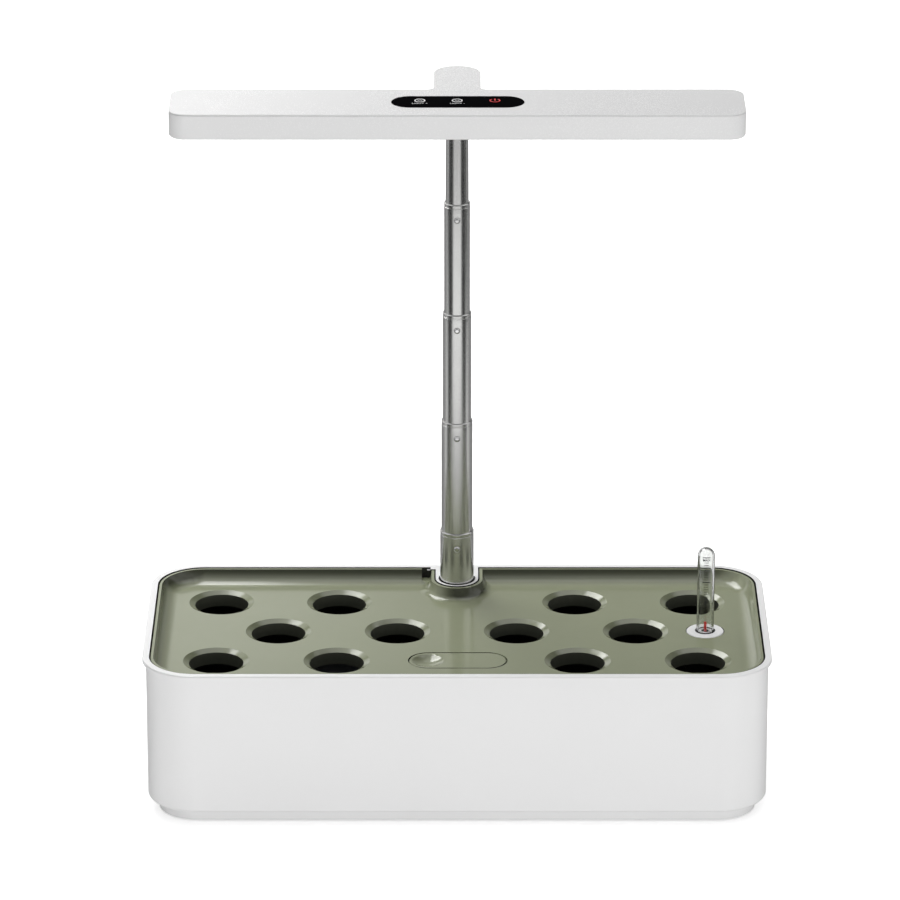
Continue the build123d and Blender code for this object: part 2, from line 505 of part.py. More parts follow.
def lamp_cover():
    """Lid of the lamp: a thin flange, a locating lip, screw bosses and the panel's opening."""
    plate = chamfer(edges_at(prism(lamp_outline(), COVER_RIM_Z, BAR_Z1), BAR_Z1), COVER_EDGE)
    plate += prism(lamp_outline(LAMP_T + COVER_FIT), COVER_Z, COVER_RIM_Z)
    lip = prism(lamp_outline(LAMP_T + COVER_FIT), COVER_Z - COVER_LIP_H, COVER_Z)
    lip -= prism(lamp_outline(LAMP_T + COVER_FIT + COVER_LIP_T), COVER_Z - COVER_LIP_H, COVER_Z)
    gap = JACK_R + JACK_LIP_GAP
    lip -= block(JACK_X - gap, JACK_X + gap, BAR_Y, BAR_Y1, COVER_Z - COVER_LIP_H, COVER_Z)
    plate += lip
    plate += [rod(BOSS_R, LENS_Z, COVER_Z + SINK, x, y) for x, y in screw_places()]
    plate -= [rod(SCREW_R, LENS_Z, BAR_Z0 + SCREW_L + SINK, x, y) for x, y in screw_places()]
    opening = stadium(PANEL_L + 2 * PANEL_FIT, PANEL_W + 2 * PANEL_FIT)
    return plate - prism(Pos(PANEL_X, BAR_Y) * opening, COVER_Z, BAR_Z1)


def touch_panel():
    panel = prism(stadium(PANEL_L, PANEL_W), COVER_Z, BAR_Z1 + PANEL_UP)
    panel = chamfer(edges_at(panel, BAR_Z1 + PANEL_UP), PANEL_EDGE)
    wide = 2 * PANEL_FLANGE
    panel += prism(stadium(PANEL_L + wide, PANEL_W + wide), COVER_Z - PANEL_FLANGE_T, COVER_Z)
    return Pos(PANEL_X, BAR_Y, 0) * panel


def control_board():
    top = COVER_Z - PANEL_FLANGE_T
    return prism(Pos(PANEL_X, BAR_Y) * RectangleRounded(PCB_L, PCB_W, PCB_CORNER), top - PCB_T, top)


def lamp_lens():
    return prism(Pos(0, BAR_Y) * RectangleRounded(LENS_W, LENS_D, WINDOW_CORNER), LENS_Z, LENS_Z + LENS_T)


def led_board():
    plate = Pos(0, BAR_Y) * RectangleRounded(LENS_W, BAR_D - 2 * (LAMP_T + LED_GAP), LED_CORNER)
    return prism(plate, LED_Z, LED_Z + LED_T)


def led_chips():
    chip = Box(LED_CHIP, LED_CHIP, LED_CHIP_T)
    grid = GridLocations(LED_PITCH_X, LED_PITCH_Y, LED_COLS, LED_ROWS)
    return [Pos(0, BAR_Y, LED_Z - LED_CHIP_T / 2) * place * chip for place in grid]


def lamp_screws():
    """Countersunk below the housing's face, driven up into the cover's bosses."""
    z = BAR_Z0 + SCREW_DEEP
    screw = rod(SCREW_HEAD_R, z, z + SCREW_HEAD_T) + rod(SCREW_R, z, z + SCREW_L)
    return [Pos(x, y, 0) * screw for x, y in screw_places()]


def dc_inlet():
    """Body of the barrel socket, set in the back of the bar, with a hole for its pin."""
    jack = rod_y(JACK_R, JACK_FACE - JACK_L, BAR_Y1, JACK_X, JACK_Z)
    jack += rod_y(JACK_FLANGE_R, BAR_Y1, JACK_FACE, JACK_X, JACK_Z)
    jack -= rod_y(JACK_BORE, JACK_FACE - JACK_DEPTH, JACK_FACE, JACK_X, JACK_Z)
    return jack - rod_y(JACK_PIN_R, JACK_FACE - JACK_L, JACK_FACE - JACK_DEPTH, JACK_X, JACK_Z)


def inlet_pin():
    """Metal centre pin, pressed into the end of the socket's body."""
    return rod_y(JACK_PIN_R, JACK_FACE - JACK_L, JACK_FACE - JACK_PIN_IN, JACK_X, JACK_Z)


# ----------------------------------------------------------------------- pump
def pump_housing():
    body = Pos(PUMP_X, PUMP_Y) * RectangleRounded(PUMP_L, PUMP_W, PUMP_ROUND)
    body = prism(body, PUMP_Z, PUMP_Z + PUMP_H)
    body = chamfer(edges_at(body, PUMP_Z + PUMP_H), PUMP_EDGE)
    body -= rod_x(CHAMBER_R, CHAMBER_X, PUMP_FACE, PUMP_Y, PUMP_AXIS)
    well = CHAMBER_X - ROTOR_L - ROTOR_CLEAR
    body -= rod_x(ROTOR_R + ROTOR_CLEAR, well, CHAMBER_X, PUMP_Y, PUMP_AXIS)
    body -= rod_x(SHAFT_R, CHAMBER_X - ROTOR_L - SHAFT_HELD, CHAMBER_X, PUMP_Y, PUMP_AXIS)
    body -= rod(NOZZLE_R - NOZZLE_T, PUMP_AXIS, PUMP_Z + PUMP_H, NOZZLE_X, PUMP_Y)
    for dx in (-CUP_DX, CUP_DX):
        for dy in (-CUP_DY, CUP_DY):
            body -= rod(CUP_STEM_R, PUMP_Z, PUMP_Z + CUP_STEM_L, PUMP_X + dx, PUMP_Y + dy)
    return body


def pump_nozzle():
    top = PUMP_Z + PUMP_H
    pipe = rod(NOZZLE_R, top, top + NOZZLE_H, NOZZLE_X, PUMP_Y)
    pipe += rod(NOZZLE_R + NOZZLE_FOOT_W, top, top + NOZZLE_FOOT_T, NOZZLE_X, PUMP_Y)
    return pipe - rod(NOZZLE_R - NOZZLE_T, top, top + NOZZLE_H, NOZZLE_X, PUMP_Y)


def pump_grille():
    """Intake cover with slots, and the bearing for the shaft's free end."""
    half = PUMP_W / 2 - GRILLE_SIDE
    cover = block(PUMP_FACE, PUMP_FACE + GRILLE_T, PUMP_Y - half, PUMP_Y + half,
                  PUMP_Z + GRILLE_LOW, PUMP_Z + PUMP_H - GRILLE_UP)
    cover = chamfer(cover.faces().sort_by(Axis.X)[-1].edges(), GRILLE_EDGE)
    for n in range(GRILLE_SLOTS):
        z = PUMP_AXIS + (n - (GRILLE_SLOTS - 1) / 2) * GRILLE_PITCH
        if n != GRILLE_SLOTS // 2:
            slot = Box(2 * GRILLE_T, GRILLE_SLOT_L, GRILLE_SLOT_W)
            cover -= Pos(PUMP_FACE + GRILLE_T / 2, PUMP_Y, z) * slot
    return cover - rod_x(SHAFT_R, PUMP_FACE, PUMP_FACE + GRILLE_T - GRILLE_SKIN, PUMP_Y, PUMP_AXIS)


def pump_impeller():
    """Magnet rotor with open vanes, bored for the fixed shaft."""
    back, front = CHAMBER_X - ROTOR_L, CHAMBER_X + DISC_GAP + DISC_T + VANE_L
    rotor = rod_x(ROTOR_R, back, CHAMBER_X, PUMP_Y, PUMP_AXIS)
    rotor += rod_x(HUB_R, CHAMBER_X, front, PUMP_Y, PUMP_AXIS)
    rotor += rod_x(DISC_R, CHAMBER_X + DISC_GAP, front - VANE_L, PUMP_Y, PUMP_AXIS)
    vane = block(front - VANE_L - SINK, front - SINK, -VANE_T / 2, VANE_T / 2, 0, VANE_R)
    for n in range(VANE_N):
        rotor += Pos(0, PUMP_Y, PUMP_AXIS) * Rot(360 / VANE_N * n, 0, 0) * vane
    return rotor - rod_x(SHAFT_R + SHAFT_CLEAR, back, front, PUMP_Y, PUMP_AXIS)


def pump_shaft():
    back, front = CHAMBER_X - ROTOR_L - SHAFT_HELD, PUMP_FACE + GRILLE_T - GRILLE_SKIN
    return rod_x(SHAFT_R, back, front, PUMP_Y, PUMP_AXIS)


def pump_cups():
    """Suction cups on the tank's floor, plugged into the pump's underside."""
    cup = turned([(0, PLINTH_FLOOR + CUP_HOLLOW), (CUP_R, PLINTH_FLOOR), (CUP_STEM_R, PUMP_Z),
                  (CUP_STEM_R, PUMP_Z + CUP_STEM_L), (0, PUMP_Z + CUP_STEM_L)])
    return [Pos(PUMP_X + dx, PUMP_Y + dy, 0) * cup for dx in (-CUP_DX, CUP_DX) for dy in (-CUP_DY, CUP_DY)]


# --------------------------------------------------------------------- export
def save(name, shape):
    if isinstance(shape, list):
        shape = Compound(children=[s for part in shape for s in part.solids()])
    export_step(shape, f"parts/{name}.step")


def main():
    os.makedirs("parts", exist_ok=True)
    save("tank_shell", tank_shell())
    save("rubber_feet", rubber_feet())
    save("post_bush", post_bush())
    save("pump_housing", pump_housing())
    save("pump_nozzle", pump_nozzle())
    save("pump_grille", pump_grille())
    save("pump_shaft", pump_shaft())
    save("pump_impeller", pump_impeller())
    save("pump_cups", pump_cups())
    save("deck_tray", deck_tray())
    save("refill_lid", refill_lid())
    save("gauge_collar", gauge_collar())
    save("gauge_tube", gauge_tube())
    save("float_cage", float_cage())
    save("float_body", float_body())
    save("float_stem", float_stem())
    for n in range(5):
        save(f"post_tube_{n + 1}", post_tube(n))
    for n in range(4):
        save(f"snap_spring_{n + 1}", snap_spring(n))
    save("lamp_housing", lamp_housing())
    save("lamp_cover", lamp_cover())
    save("touch_panel", touch_panel())
    save("control_board", control_board())
    save("lamp_lens", lamp_lens())
    save("led_board", led_board())
    save("led_chips", led_chips())
    save("lamp_screws", lamp_screws())
    save("dc_inlet", dc_inlet())
    save("inlet_pin", inlet_pin())


main()
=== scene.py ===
# %% [markdown]
# # A countertop garden that grows twelve plants in water
# A white tank holds the water, a sage green deck carries the plants, and a post of five
# tubes lifts a lamp over them. The solids come from the CAD model, which is the fixed frame
# of this scene. Each cell adds what a solid lacks: fine meshes for the turned pieces, prints,
# and a finish for every part that has the grain, gloss and small flaws of its material.

# %% Load the frame
import bpy
import bmesh
import json
from math import cos, pi, radians, sin
from mathutils import Matrix, Vector


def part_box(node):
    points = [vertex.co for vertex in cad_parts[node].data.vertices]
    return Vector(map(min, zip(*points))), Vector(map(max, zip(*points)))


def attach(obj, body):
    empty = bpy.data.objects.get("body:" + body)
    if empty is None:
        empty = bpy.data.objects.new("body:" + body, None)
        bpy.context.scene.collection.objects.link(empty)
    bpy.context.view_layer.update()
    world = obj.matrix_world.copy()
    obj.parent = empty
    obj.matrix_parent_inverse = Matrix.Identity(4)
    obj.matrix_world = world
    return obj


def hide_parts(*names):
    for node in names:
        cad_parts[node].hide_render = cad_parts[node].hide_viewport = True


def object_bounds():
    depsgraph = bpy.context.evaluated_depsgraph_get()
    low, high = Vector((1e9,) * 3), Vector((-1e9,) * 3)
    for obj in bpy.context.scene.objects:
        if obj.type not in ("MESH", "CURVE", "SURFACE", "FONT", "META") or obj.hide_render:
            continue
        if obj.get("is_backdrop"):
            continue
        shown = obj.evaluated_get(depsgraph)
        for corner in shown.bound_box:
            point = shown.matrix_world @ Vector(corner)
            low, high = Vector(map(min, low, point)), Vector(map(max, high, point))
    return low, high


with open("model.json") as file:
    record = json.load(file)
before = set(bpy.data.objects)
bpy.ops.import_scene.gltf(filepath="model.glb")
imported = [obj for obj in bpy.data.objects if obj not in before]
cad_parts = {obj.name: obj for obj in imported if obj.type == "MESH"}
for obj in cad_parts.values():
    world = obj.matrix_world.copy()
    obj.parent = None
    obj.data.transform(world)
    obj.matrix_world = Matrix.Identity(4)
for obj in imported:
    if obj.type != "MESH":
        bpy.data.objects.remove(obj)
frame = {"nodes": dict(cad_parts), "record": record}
cad_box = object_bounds()
nodes = frame["nodes"]
bodies = frame["record"]["behaviour"]["bodies"]
body_of = {node: body for body, members in bodies.items() for node in members}
MM = 0.001

# %% [markdown]
# ## The camera
# A product picture is taken from far away with a long lens, so that upright edges stay
# parallel. The camera here stands more than three metres off and looks down 21 degrees.

# %% Camera
LENS, CAMERA_AT, CAMERA_DOWN = 231.5, (-4.13, -3146.34, 1391.55), 20.727     # mm, mm and degrees
camera = bpy.data.objects.new("camera", bpy.data.cameras.new("camera"))
camera.data.lens = LENS
camera.data.clip_end = 100
camera.location = Vector(CAMERA_AT) * MM
camera.rotation_euler = (radians(90 - CAMERA_DOWN), 0, 0)
bpy.context.scene.collection.objects.link(camera)
bpy.context.scene.camera = camera
bpy.context.scene.view_settings.view_transform = "Standard"
print("camera stands", round(camera.location.length, 2), "m from the origin")

# %% [markdown]
# ## Small helpers for node trees
# Materials and Geometry Nodes are built from the same calls: add a node, set or join its
# inputs, and wrap a tree as a group with named sockets. A few helpers keep each tree short.

# %% Node helpers
def add(tree, kind, inputs=None, **settings):
    """Add a node. An input that is given as a socket is joined, any other value is set."""
    node = tree.nodes.new(kind)
    for key, value in settings.items():
        setattr(node, key, value)
    for key, value in (inputs or {}).items():
        if isinstance(value, bpy.types.NodeSocket):
            tree.links.new(value, node.inputs[key])
        else:
            node.inputs[key].default_value = value
    return node


def calc(tree, operation, *values):
    """One sum, as its result socket."""
    return add(tree, "ShaderNodeMath", dict(enumerate(values)), operation=operation).outputs[0]


def scaled(tree, vector, factor):
    """A colour or vector times a number."""
    return add(tree, "ShaderNodeVectorMath", {0: vector, "Scale": factor}, operation="SCALE").outputs[0]


def group(name, kind, inputs, outputs):
    """An empty node group with named sockets, and its two end nodes."""
    tree = bpy.data.node_groups.new(name, kind)
    for way, sockets in (("INPUT", inputs), ("OUTPUT", outputs)):
        for label, (socket, value) in sockets.items():
            kind_of = "NodeSocket" + socket
            item = tree.interface.new_socket(label, in_out=way, socket_type=kind_of)
            if value is not None:
                item.default_value = value
    return tree, add(tree, "NodeGroupInput"), add(tree, "NodeGroupOutput")


def join(tree, node, **sources):
    """Join sockets to a node's inputs by name."""
    for name, socket in sources.items():
        tree.links.new(socket, node.inputs[name.replace("_", " ")])


# %% [markdown]
# ## Light
# White plastic needs an even light that is a little stronger from above, or its shape is
# lost. The world gives the even part, a window light over the back left corner gives the
# slopes their bright edge, and two softboxes fill in. Gloss, metal and clear plastic only
# show what is around them, so a studio also sets black and grey cards. Here two dark sectors
# of the world and some flat cards do that, and only reflections see them.

# %% World
def ease(tree, value, low, high, start=0.0, end=1.0):
    """A value that eases from start to end while the input goes from low to high."""
    return add(tree, "ShaderNodeMapRange", {0: value, 1: low, 2: high, 3: start, 4: end},
               interpolation_type="SMOOTHSTEP").outputs[0]


def studio_world(even, cards, card_grey, side_grey, front_grey, rim_grey):
    """Even light for surfaces, white for the eye, and greys for what mirrors and clear parts show."""
    world = bpy.data.worlds.new("studio")
    bpy.context.scene.world = world
    world.use_nodes = True
    tree = world.node_tree
    tree.nodes.clear()
    heading = add(tree, "ShaderNodeTexCoord").outputs["Generated"]
    heading = add(tree, "ShaderNodeSeparateXYZ", {0: heading}).outputs
    across, ahead, up = heading["X"], calc(tree, "MULTIPLY", heading["Y"], -1.0), heading["Z"]
    angle = calc(tree, "ARCTAN2", across, ahead)

    # What a mirror shows: over the horizon white with a dim front, and under it two dark
    # sectors and a grey back.
    above = calc(tree, "SUBTRACT", 1.0, ease(tree, up, -0.05, 0.1, 1.0, 0.0))
    sides = ease(tree, calc(tree, "ABSOLUTE", angle), radians(75), radians(120), 1.0, side_grey)
    mirror = calc(tree, "MAXIMUM", sides, above)
    for start, end in cards:
        middle, half = radians(start + end) / 2, radians(end - start) / 2
        off = calc(tree, "ABSOLUTE", calc(tree, "SUBTRACT", angle, middle))
        edge = ease(tree, off, half - radians(12), half + radians(12), card_grey, 1.0)
        mirror = calc(tree, "MULTIPLY", mirror, calc(tree, "MAXIMUM", edge, above))
    front = calc(tree, "MULTIPLY", ease(tree, ahead, 0.3, 0.8), ease(tree, up, 0.0, 0.1))
    dimmed = calc(tree, "SUBTRACT", 1.0, calc(tree, "MULTIPLY", front, 1 - front_grey))
    mirror = calc(tree, "MULTIPLY", mirror, dimmed)

    # What clear plastic shows: white straight behind the object, and darker around that.
    level, down = calc(tree, "MULTIPLY", ahead, -0.935), calc(tree, "MULTIPLY", up, 0.354)
    through = ease(tree, calc(tree, "SUBTRACT", level, down), 0.72, 0.93, rim_grey, 1.0)

    def glow(strength):
        given = {"Color": (1, 1, 1, 1), "Strength": strength}
        return add(tree, "ShaderNodeBackground", given).outputs[0]

    ray, light = add(tree, "ShaderNodeLightPath").outputs, glow(even)
    for flag, strength in (("Is Glossy Ray", mirror), ("Is Transmission Ray", through),
                           ("Is Camera Ray", 1.0)):
        light = add(tree, "ShaderNodeMixShader", {0: ray[flag], 1: light, 2: glow(strength)}).outputs[0]
    add(tree, "ShaderNodeOutputWorld", {"Surface": light})
    print("world of", len(tree.nodes), "nodes")


studio_world(even=0.54, cards=[(-80, -34), (40, 78)], card_grey=0.05, side_grey=0.3,
             front_grey=0.15, rim_grey=0.1)


# %% Softboxes
def softbox(name, place, aim, size, power):
    """A rectangular lamp; lengths in metres, power in watts."""
    lamp = bpy.data.lights.new(name, "AREA")
    lamp.shape, lamp.size, lamp.size_y, lamp.energy = "RECTANGLE", size[0], size[1], power
    box = bpy.data.objects.new(name, lamp)
    box.location = place
    box.rotation_euler = (Vector(aim) - Vector(place)).to_track_quat("-Z", "Y").to_euler()
    bpy.context.scene.collection.objects.link(box)
    print(name, power, "W,", round((Vector(aim) - Vector(place)).length, 2), "m away")
    return box


softbox("softbox_above", (0.35, 0.1, 2.2), (0, 0, 0.1), (1.6, 1.6), 8)
front_box = softbox("softbox_front", (0.6, -2.4, 0.15), (0, 0, 0.0), (1.4, 1.0), 29)
front_box.visible_glossy = False
softbox("softbox_window", (-0.37, 0.73, 0.95), (-0.37, 0.7301, 0.0), (0.46, 0.82), 8)


# %% Card helper
def card(name, corners, grey, other=None, fade=(0.0, 1.0)):
    """A flat card that only reflections see: one grey, or a second one beyond a fade along X."""
    mesh = bpy.data.meshes.new(name)
    mesh.from_pydata(corners, [], [(0, 1, 2, 3)])
    sheet = bpy.data.objects.new(name, mesh)
    bpy.context.scene.collection.objects.link(sheet)
    matter = bpy.data.materials.new(name)
    matter.use_nodes = True
    tree = matter.node_tree
    tree.nodes.clear()
    place = add(tree, "ShaderNodeTexCoord").outputs["Object"]
    across = add(tree, "ShaderNodeSeparateXYZ", {0: place}).outputs["X"]
    level = ease(tree, across, *fade, grey, grey if other is None else other)
    glow = add(tree, "ShaderNodeEmission", {"Color": (1, 1, 1, 1), "Strength": level})
    add(tree, "ShaderNodeOutputMaterial", {"Surface": glow.outputs[0]})
    mesh.materials.append(matter)
    for way in ("camera", "diffuse", "shadow", "transmission", "volume_scatter"):
        setattr(sheet, "visible_" + way, False)
    sheet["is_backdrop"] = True


def upright(x0, x1, z0, z1, y=1.1):
    """The corners of an upright card behind the object."""
    return [(x0, y, z0), (x1, y, z0), (x1, y, z1), (x0, y, z1)]


def flat(x0, x1, y0, y1, z=0.001):
    """The corners of a card on the floor."""
    return [(x0, y0, z), (x1, y0, z), (x1, y1, z), (x0, y1, z)]


def sector(start, end, near, far, z=0.002):
    """The corners of a floor card round the post, between two headings from the front."""
    spots = ((start, near), (end, near), (end, far), (start, far))
    spots = [(radians(turn), reach) for turn, reach in spots]
    return [(reach * sin(turn), 0.065 - reach * cos(turn), z) for turn, reach in spots]


# %% Cards for the deck and the lamp
card("card_deck", upright(-2.5, 2.5, 0.05, 0.64), 1.1, 0.32, fade=(-0.22, 0.1))
card("card_lamp", upright(-2.5, 0.25, 0.64, 0.86), 0.02)
card("card_lamp_right", upright(0.25, 2.5, 0.64, 1.8), 0.02)
print("three cards behind the object")

# %% Cards for the post
card("card_floor_far", flat(-1.5, 1.5, -2.2, -0.95), 0.3)
card("card_floor_middle", flat(-0.45, 0.45, -0.95, -0.42), 1.25)
card("card_floor_near", flat(-0.4, 0.4, -0.42, -0.1), 0.38)
card("card_far_left", sector(-95, -42, 0.85, 2.0), 0.02)
card("card_far_right", sector(38, 105, 0.85, 2.0), 0.02)
print("five cards on the floor")

# %% [markdown]
# ## Floor
# A plain white sheet. To the camera it also glows a little, so that it meets the white
# background with no visible edge, and it still takes the soft shadow under the tank.

# %% Floor sheet
def floor_sheet(half=12.0, glow=0.46, glow_through=0.55):
    """A white sheet that also glows to the eye, and less through clear plastic."""
    mesh = bpy.data.meshes.new("floor")
    mesh.from_pydata(flat(-half, half, -half, half, z=0.0), [], [(0, 1, 2, 3)])
    sheet = bpy.data.objects.new("floor", mesh)
    bpy.context.scene.collection.objects.link(sheet)
    paper = bpy.data.materials.new("floor paper")
    paper.use_nodes = True
    tree = paper.node_tree
    tree.nodes.clear()
    ray = add(tree, "ShaderNodeLightPath").outputs
    eye = calc(tree, "MULTIPLY_ADD", ray["Is Transmission Ray"], glow_through, ray["Is Camera Ray"])
    matte = add(tree, "ShaderNodeBsdfDiffuse", {"Color": (0.9, 0.9, 0.9, 1)}).outputs[0]
    light = {"Color": (1, 1, 1, 1), "Strength": calc(tree, "MULTIPLY", eye, glow)}
    light = add(tree, "ShaderNodeEmission", light).outputs[0]
    both = add(tree, "ShaderNodeAddShader", {0: matte, 1: light}).outputs[0]
    add(tree, "ShaderNodeOutputMaterial", {"Surface": both})
    mesh.materials.append(paper)
    sheet.visible_glossy = False
    sheet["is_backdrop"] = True
    print("floor", 2 * half, "m wide")


floor_sheet()

# %% [markdown]
# ## Finishes shared by many parts
# Four effects are node groups with named inputs: the cloudy skin of moulded plastic, the
# streaks of brushed metal, painted shade that makes a colour darker on slopes that turn from
# the window light, and a trace of dust on faces that look up. A group gives only colours
# and values; the shader stays in the material.

# %% Moulded skin
skin, given, made = group(
    "moulded skin", "ShaderNodeTree",
    {"Colour": ("Color", (0.8, 0.8, 0.8, 1)), "Roughness": ("Float", 0.3), "Clouds": ("Float", 0.03),
     "Grain": ("Float", 1800.0)},
    {"Colour": ("Color", None), "Roughness": ("Float", None), "Height": ("Float", None)})
place = add(skin, "ShaderNodeTexCoord").outputs["Object"]
cloud = add(skin, "ShaderNodeTexNoise", {"Vector": place, "Scale": 14.0, "Detail": 3.0}).outputs["Fac"]
grain = {"Vector": place, "Scale": given.outputs["Grain"], "Detail": 2.0}
speck = add(skin, "ShaderNodeTexNoise", grain).outputs["Fac"]
worn = calc(skin, "MULTIPLY", calc(skin, "SUBTRACT", cloud, 0.5), given.outputs["Clouds"])
tint = scaled(skin, given.outputs["Colour"], calc(skin, "ADD", 1.0, worn))
rough = calc(skin, "ADD", given.outputs["Roughness"], calc(skin, "MULTIPLY", worn, 1.5))
rough = calc(skin, "ADD", rough, calc(skin, "MULTIPLY", calc(skin, "SUBTRACT", speck, 0.5), 0.03))
join(skin, made, Colour=tint, Roughness=rough, Height=speck)

# %% Brushed streaks
brush, given, made = group(
    "brushed streaks", "ShaderNodeTree",
    {"Colour": ("Color", (0.6, 0.6, 0.6, 1)), "Roughness": ("Float", 0.25), "Depth": ("Float", 0.1),
     "Across": ("Float", 2600.0), "Along": ("Float", 30.0)},
    {"Colour": ("Color", None), "Roughness": ("Float", None), "Height": ("Float", None)})
place = add(brush, "ShaderNodeTexCoord").outputs["Object"]
across, along = given.outputs["Across"], given.outputs["Along"]
stretch = add(brush, "ShaderNodeCombineXYZ", {0: across, 1: across, 2: along}).outputs[0]
drawn = add(brush, "ShaderNodeVectorMath", {0: place, 1: stretch}, operation="MULTIPLY").outputs[0]
line = add(brush, "ShaderNodeTexNoise", {"Vector": drawn, "Scale": 1.0, "Detail": 3.0}).outputs["Fac"]
smear = add(brush, "ShaderNodeTexNoise", {"Vector": place, "Scale": 60.0, "Detail": 2.0}).outputs["Fac"]
swing = calc(brush, "MULTIPLY", calc(brush, "SUBTRACT", line, 0.5), given.outputs["Depth"])
tint = scaled(brush, given.outputs["Colour"], calc(brush, "ADD", 1.0, swing))
rough = calc(brush, "ADD", given.outputs["Roughness"], calc(brush, "MULTIPLY", swing, 0.5))
rough = calc(brush, "ADD", rough, calc(brush, "MULTIPLY", calc(brush, "SUBTRACT", smear, 0.5), 0.06))
join(brush, made, Colour=tint, Roughness=rough, Height=line)

# %% Painted slope shade
# Painted shade: faces turned towards FROM_LIGHT get a darker colour, as if in shade.
FROM_LIGHT = (0.65, -0.85, 0.0)          # towards the front right, away from the window light
flop, given, made = group(
    "flop", "ShaderNodeTree",
    {"Colour": ("Color", (0.5, 0.5, 0.5, 1)), "Deep": ("Float", 0.17)}, {"Colour": ("Color", None)})
normal = add(flop, "ShaderNodeNewGeometry").outputs["Normal"]
slope = add(flop, "ShaderNodeVectorMath", {0: normal, 1: FROM_LIGHT}, operation="DOT_PRODUCT")
tone = {0: slope.outputs["Value"], 1: 0.02, 2: 0.74, 3: 1.0, 4: given.outputs["Deep"]}
tone = add(flop, "ShaderNodeMapRange", tone).outputs[0]
join(flop, made, Colour=scaled(flop, given.outputs["Colour"], tone))

# %% Settled dust
dust, given, made = group(
    "settled dust", "ShaderNodeTree",
    {"Colour": ("Color", (0.8, 0.8, 0.8, 1)), "Roughness": ("Float", 0.3), "Amount": ("Float", 0.1)},
    {"Colour": ("Color", None), "Roughness": ("Float", None)})
normal = add(dust, "ShaderNodeNewGeometry").outputs["Normal"]
upward = add(dust, "ShaderNodeSeparateXYZ", {0: normal}).outputs["Z"]
facing = add(dust, "ShaderNodeMapRange", {0: upward, 1: 0.6, 2: 1.0, 3: 0.0, 4: 1.0}).outputs[0]
place = add(dust, "ShaderNodeTexCoord").outputs["Object"]
drift = {"Vector": place, "Scale": 45.0, "Detail": 6.0, "Roughness": 0.7}
drift = add(dust, "ShaderNodeTexNoise", drift).outputs["Fac"]
patch = add(dust, "ShaderNodeMapRange", {0: drift, 1: 0.42, 2: 0.75, 3: 0.0, 4: 1.0}).outputs[0]
cover = calc(dust, "MULTIPLY", calc(dust, "MULTIPLY", facing, patch), given.outputs["Amount"])
tint = {"Factor": cover, "A": given.outputs["Colour"], "B": (0.62, 0.61, 0.58, 1)}
tint = add(dust, "ShaderNodeMix", tint, data_type="RGBA").outputs["Result"]
rough = calc(dust, "ADD", given.outputs["Roughness"], calc(dust, "MULTIPLY", cover, 0.5))
join(dust, made, Colour=tint, Roughness=rough)
print("shared groups:", ", ".join(tree.name for tree in (skin, brush, flop, dust)))


# %% [markdown]
# ## Materials
# A moulded part is one colour all through, so its looks come from the skin: how glossy it
# is and how fine its grain. Bump distances are true sizes, a few thousandths or hundredths
# of a millimetre, so the grain shows in a close view and stays quiet from afar.

# %% Material makers
def plastic(name, colour, roughness, clouds=0.03, grain=1800.0, relief=0.008, dusty=0.0, shade_depth=None,
            **sockets):
    """Moulded plastic with the skin group, and with dust and painted slope shade where they are asked
    for.
    """
    material = bpy.data.materials.new(name)
    material.use_nodes = True
    tree = material.node_tree
    shader = tree.nodes["Principled BSDF"]
    given = {"Colour": (*colour, 1), "Roughness": roughness, "Clouds": clouds, "Grain": grain}
    coat = add(tree, "ShaderNodeGroup", given, node_tree=skin).outputs
    bump = {"Height": coat["Height"], "Distance": relief * MM, "Strength": 1.0}
    bump = add(tree, "ShaderNodeBump", bump).outputs["Normal"]
    if dusty:
        given = {"Colour": coat["Colour"], "Roughness": coat["Roughness"], "Amount": dusty}
        coat = add(tree, "ShaderNodeGroup", given, node_tree=dust).outputs
    tint = coat["Colour"]
    # Painted shade: the colour turns darker on slopes that face away from the window light.
    if shade_depth:
        tint = add(tree, "ShaderNodeGroup", {"Colour": tint, "Deep": shade_depth}, node_tree=flop)
        tint = tint.outputs["Colour"]
    join(tree, shader, Base_Color=tint, Roughness=coat["Roughness"], Normal=bump)
    for label, value in sockets.items():
        shader.inputs[label.replace("_", " ")].default_value = value
    return material


def metal(name, colour, roughness, depth=0.12, across=2600.0, along=30.0, relief=0.002):
    """Brushed metal; the streaks run along Z and are fine across it."""
    material = bpy.data.materials.new(name)
    material.use_nodes = True
    tree = material.node_tree
    shader = tree.nodes["Principled BSDF"]
    given = {"Colour": (*colour, 1), "Roughness": roughness, "Depth": depth, "Across": across,
             "Along": along}
    streak = add(tree, "ShaderNodeGroup", given, node_tree=brush).outputs
    bump = {"Height": streak["Height"], "Distance": relief * MM, "Strength": 1.0}
    bump = add(tree, "ShaderNodeBump", bump).outputs["Normal"]
    join(tree, shader, Base_Color=streak["Colour"], Roughness=streak["Roughness"], Normal=bump)
    shader.inputs["Metallic"].default_value = 1.0
    return material


def clear(name, colour, roughness, ior, rim=0.02):
    """Clear plastic whose outline is painted dark: the colour falls to rim where the wall is seen at a
    slant, far darker than the longer path through the wall would make it.
    """
    material = plastic(name, colour, roughness, clouds=0.0, relief=0.001)
    tree = material.node_tree
    shader = tree.nodes["Principled BSDF"]
    # Painted shade: the colour darkens towards the outline by the slant of the wall.
    slant = add(tree, "ShaderNodeLayerWeight", {"Blend": 0.5}).outputs["Facing"]
    level = add(tree, "ShaderNodeMapRange", {0: slant, 1: 0.42, 2: 0.68, 3: 1.0, 4: rim}).outputs[0]
    tint = shader.inputs["Base Color"].links[0].from_socket
    join(tree, shader, Base_Color=scaled(tree, tint, level))
    shader.inputs["Transmission Weight"].default_value = 1.0
    shader.inputs["IOR"].default_value = ior
    return material


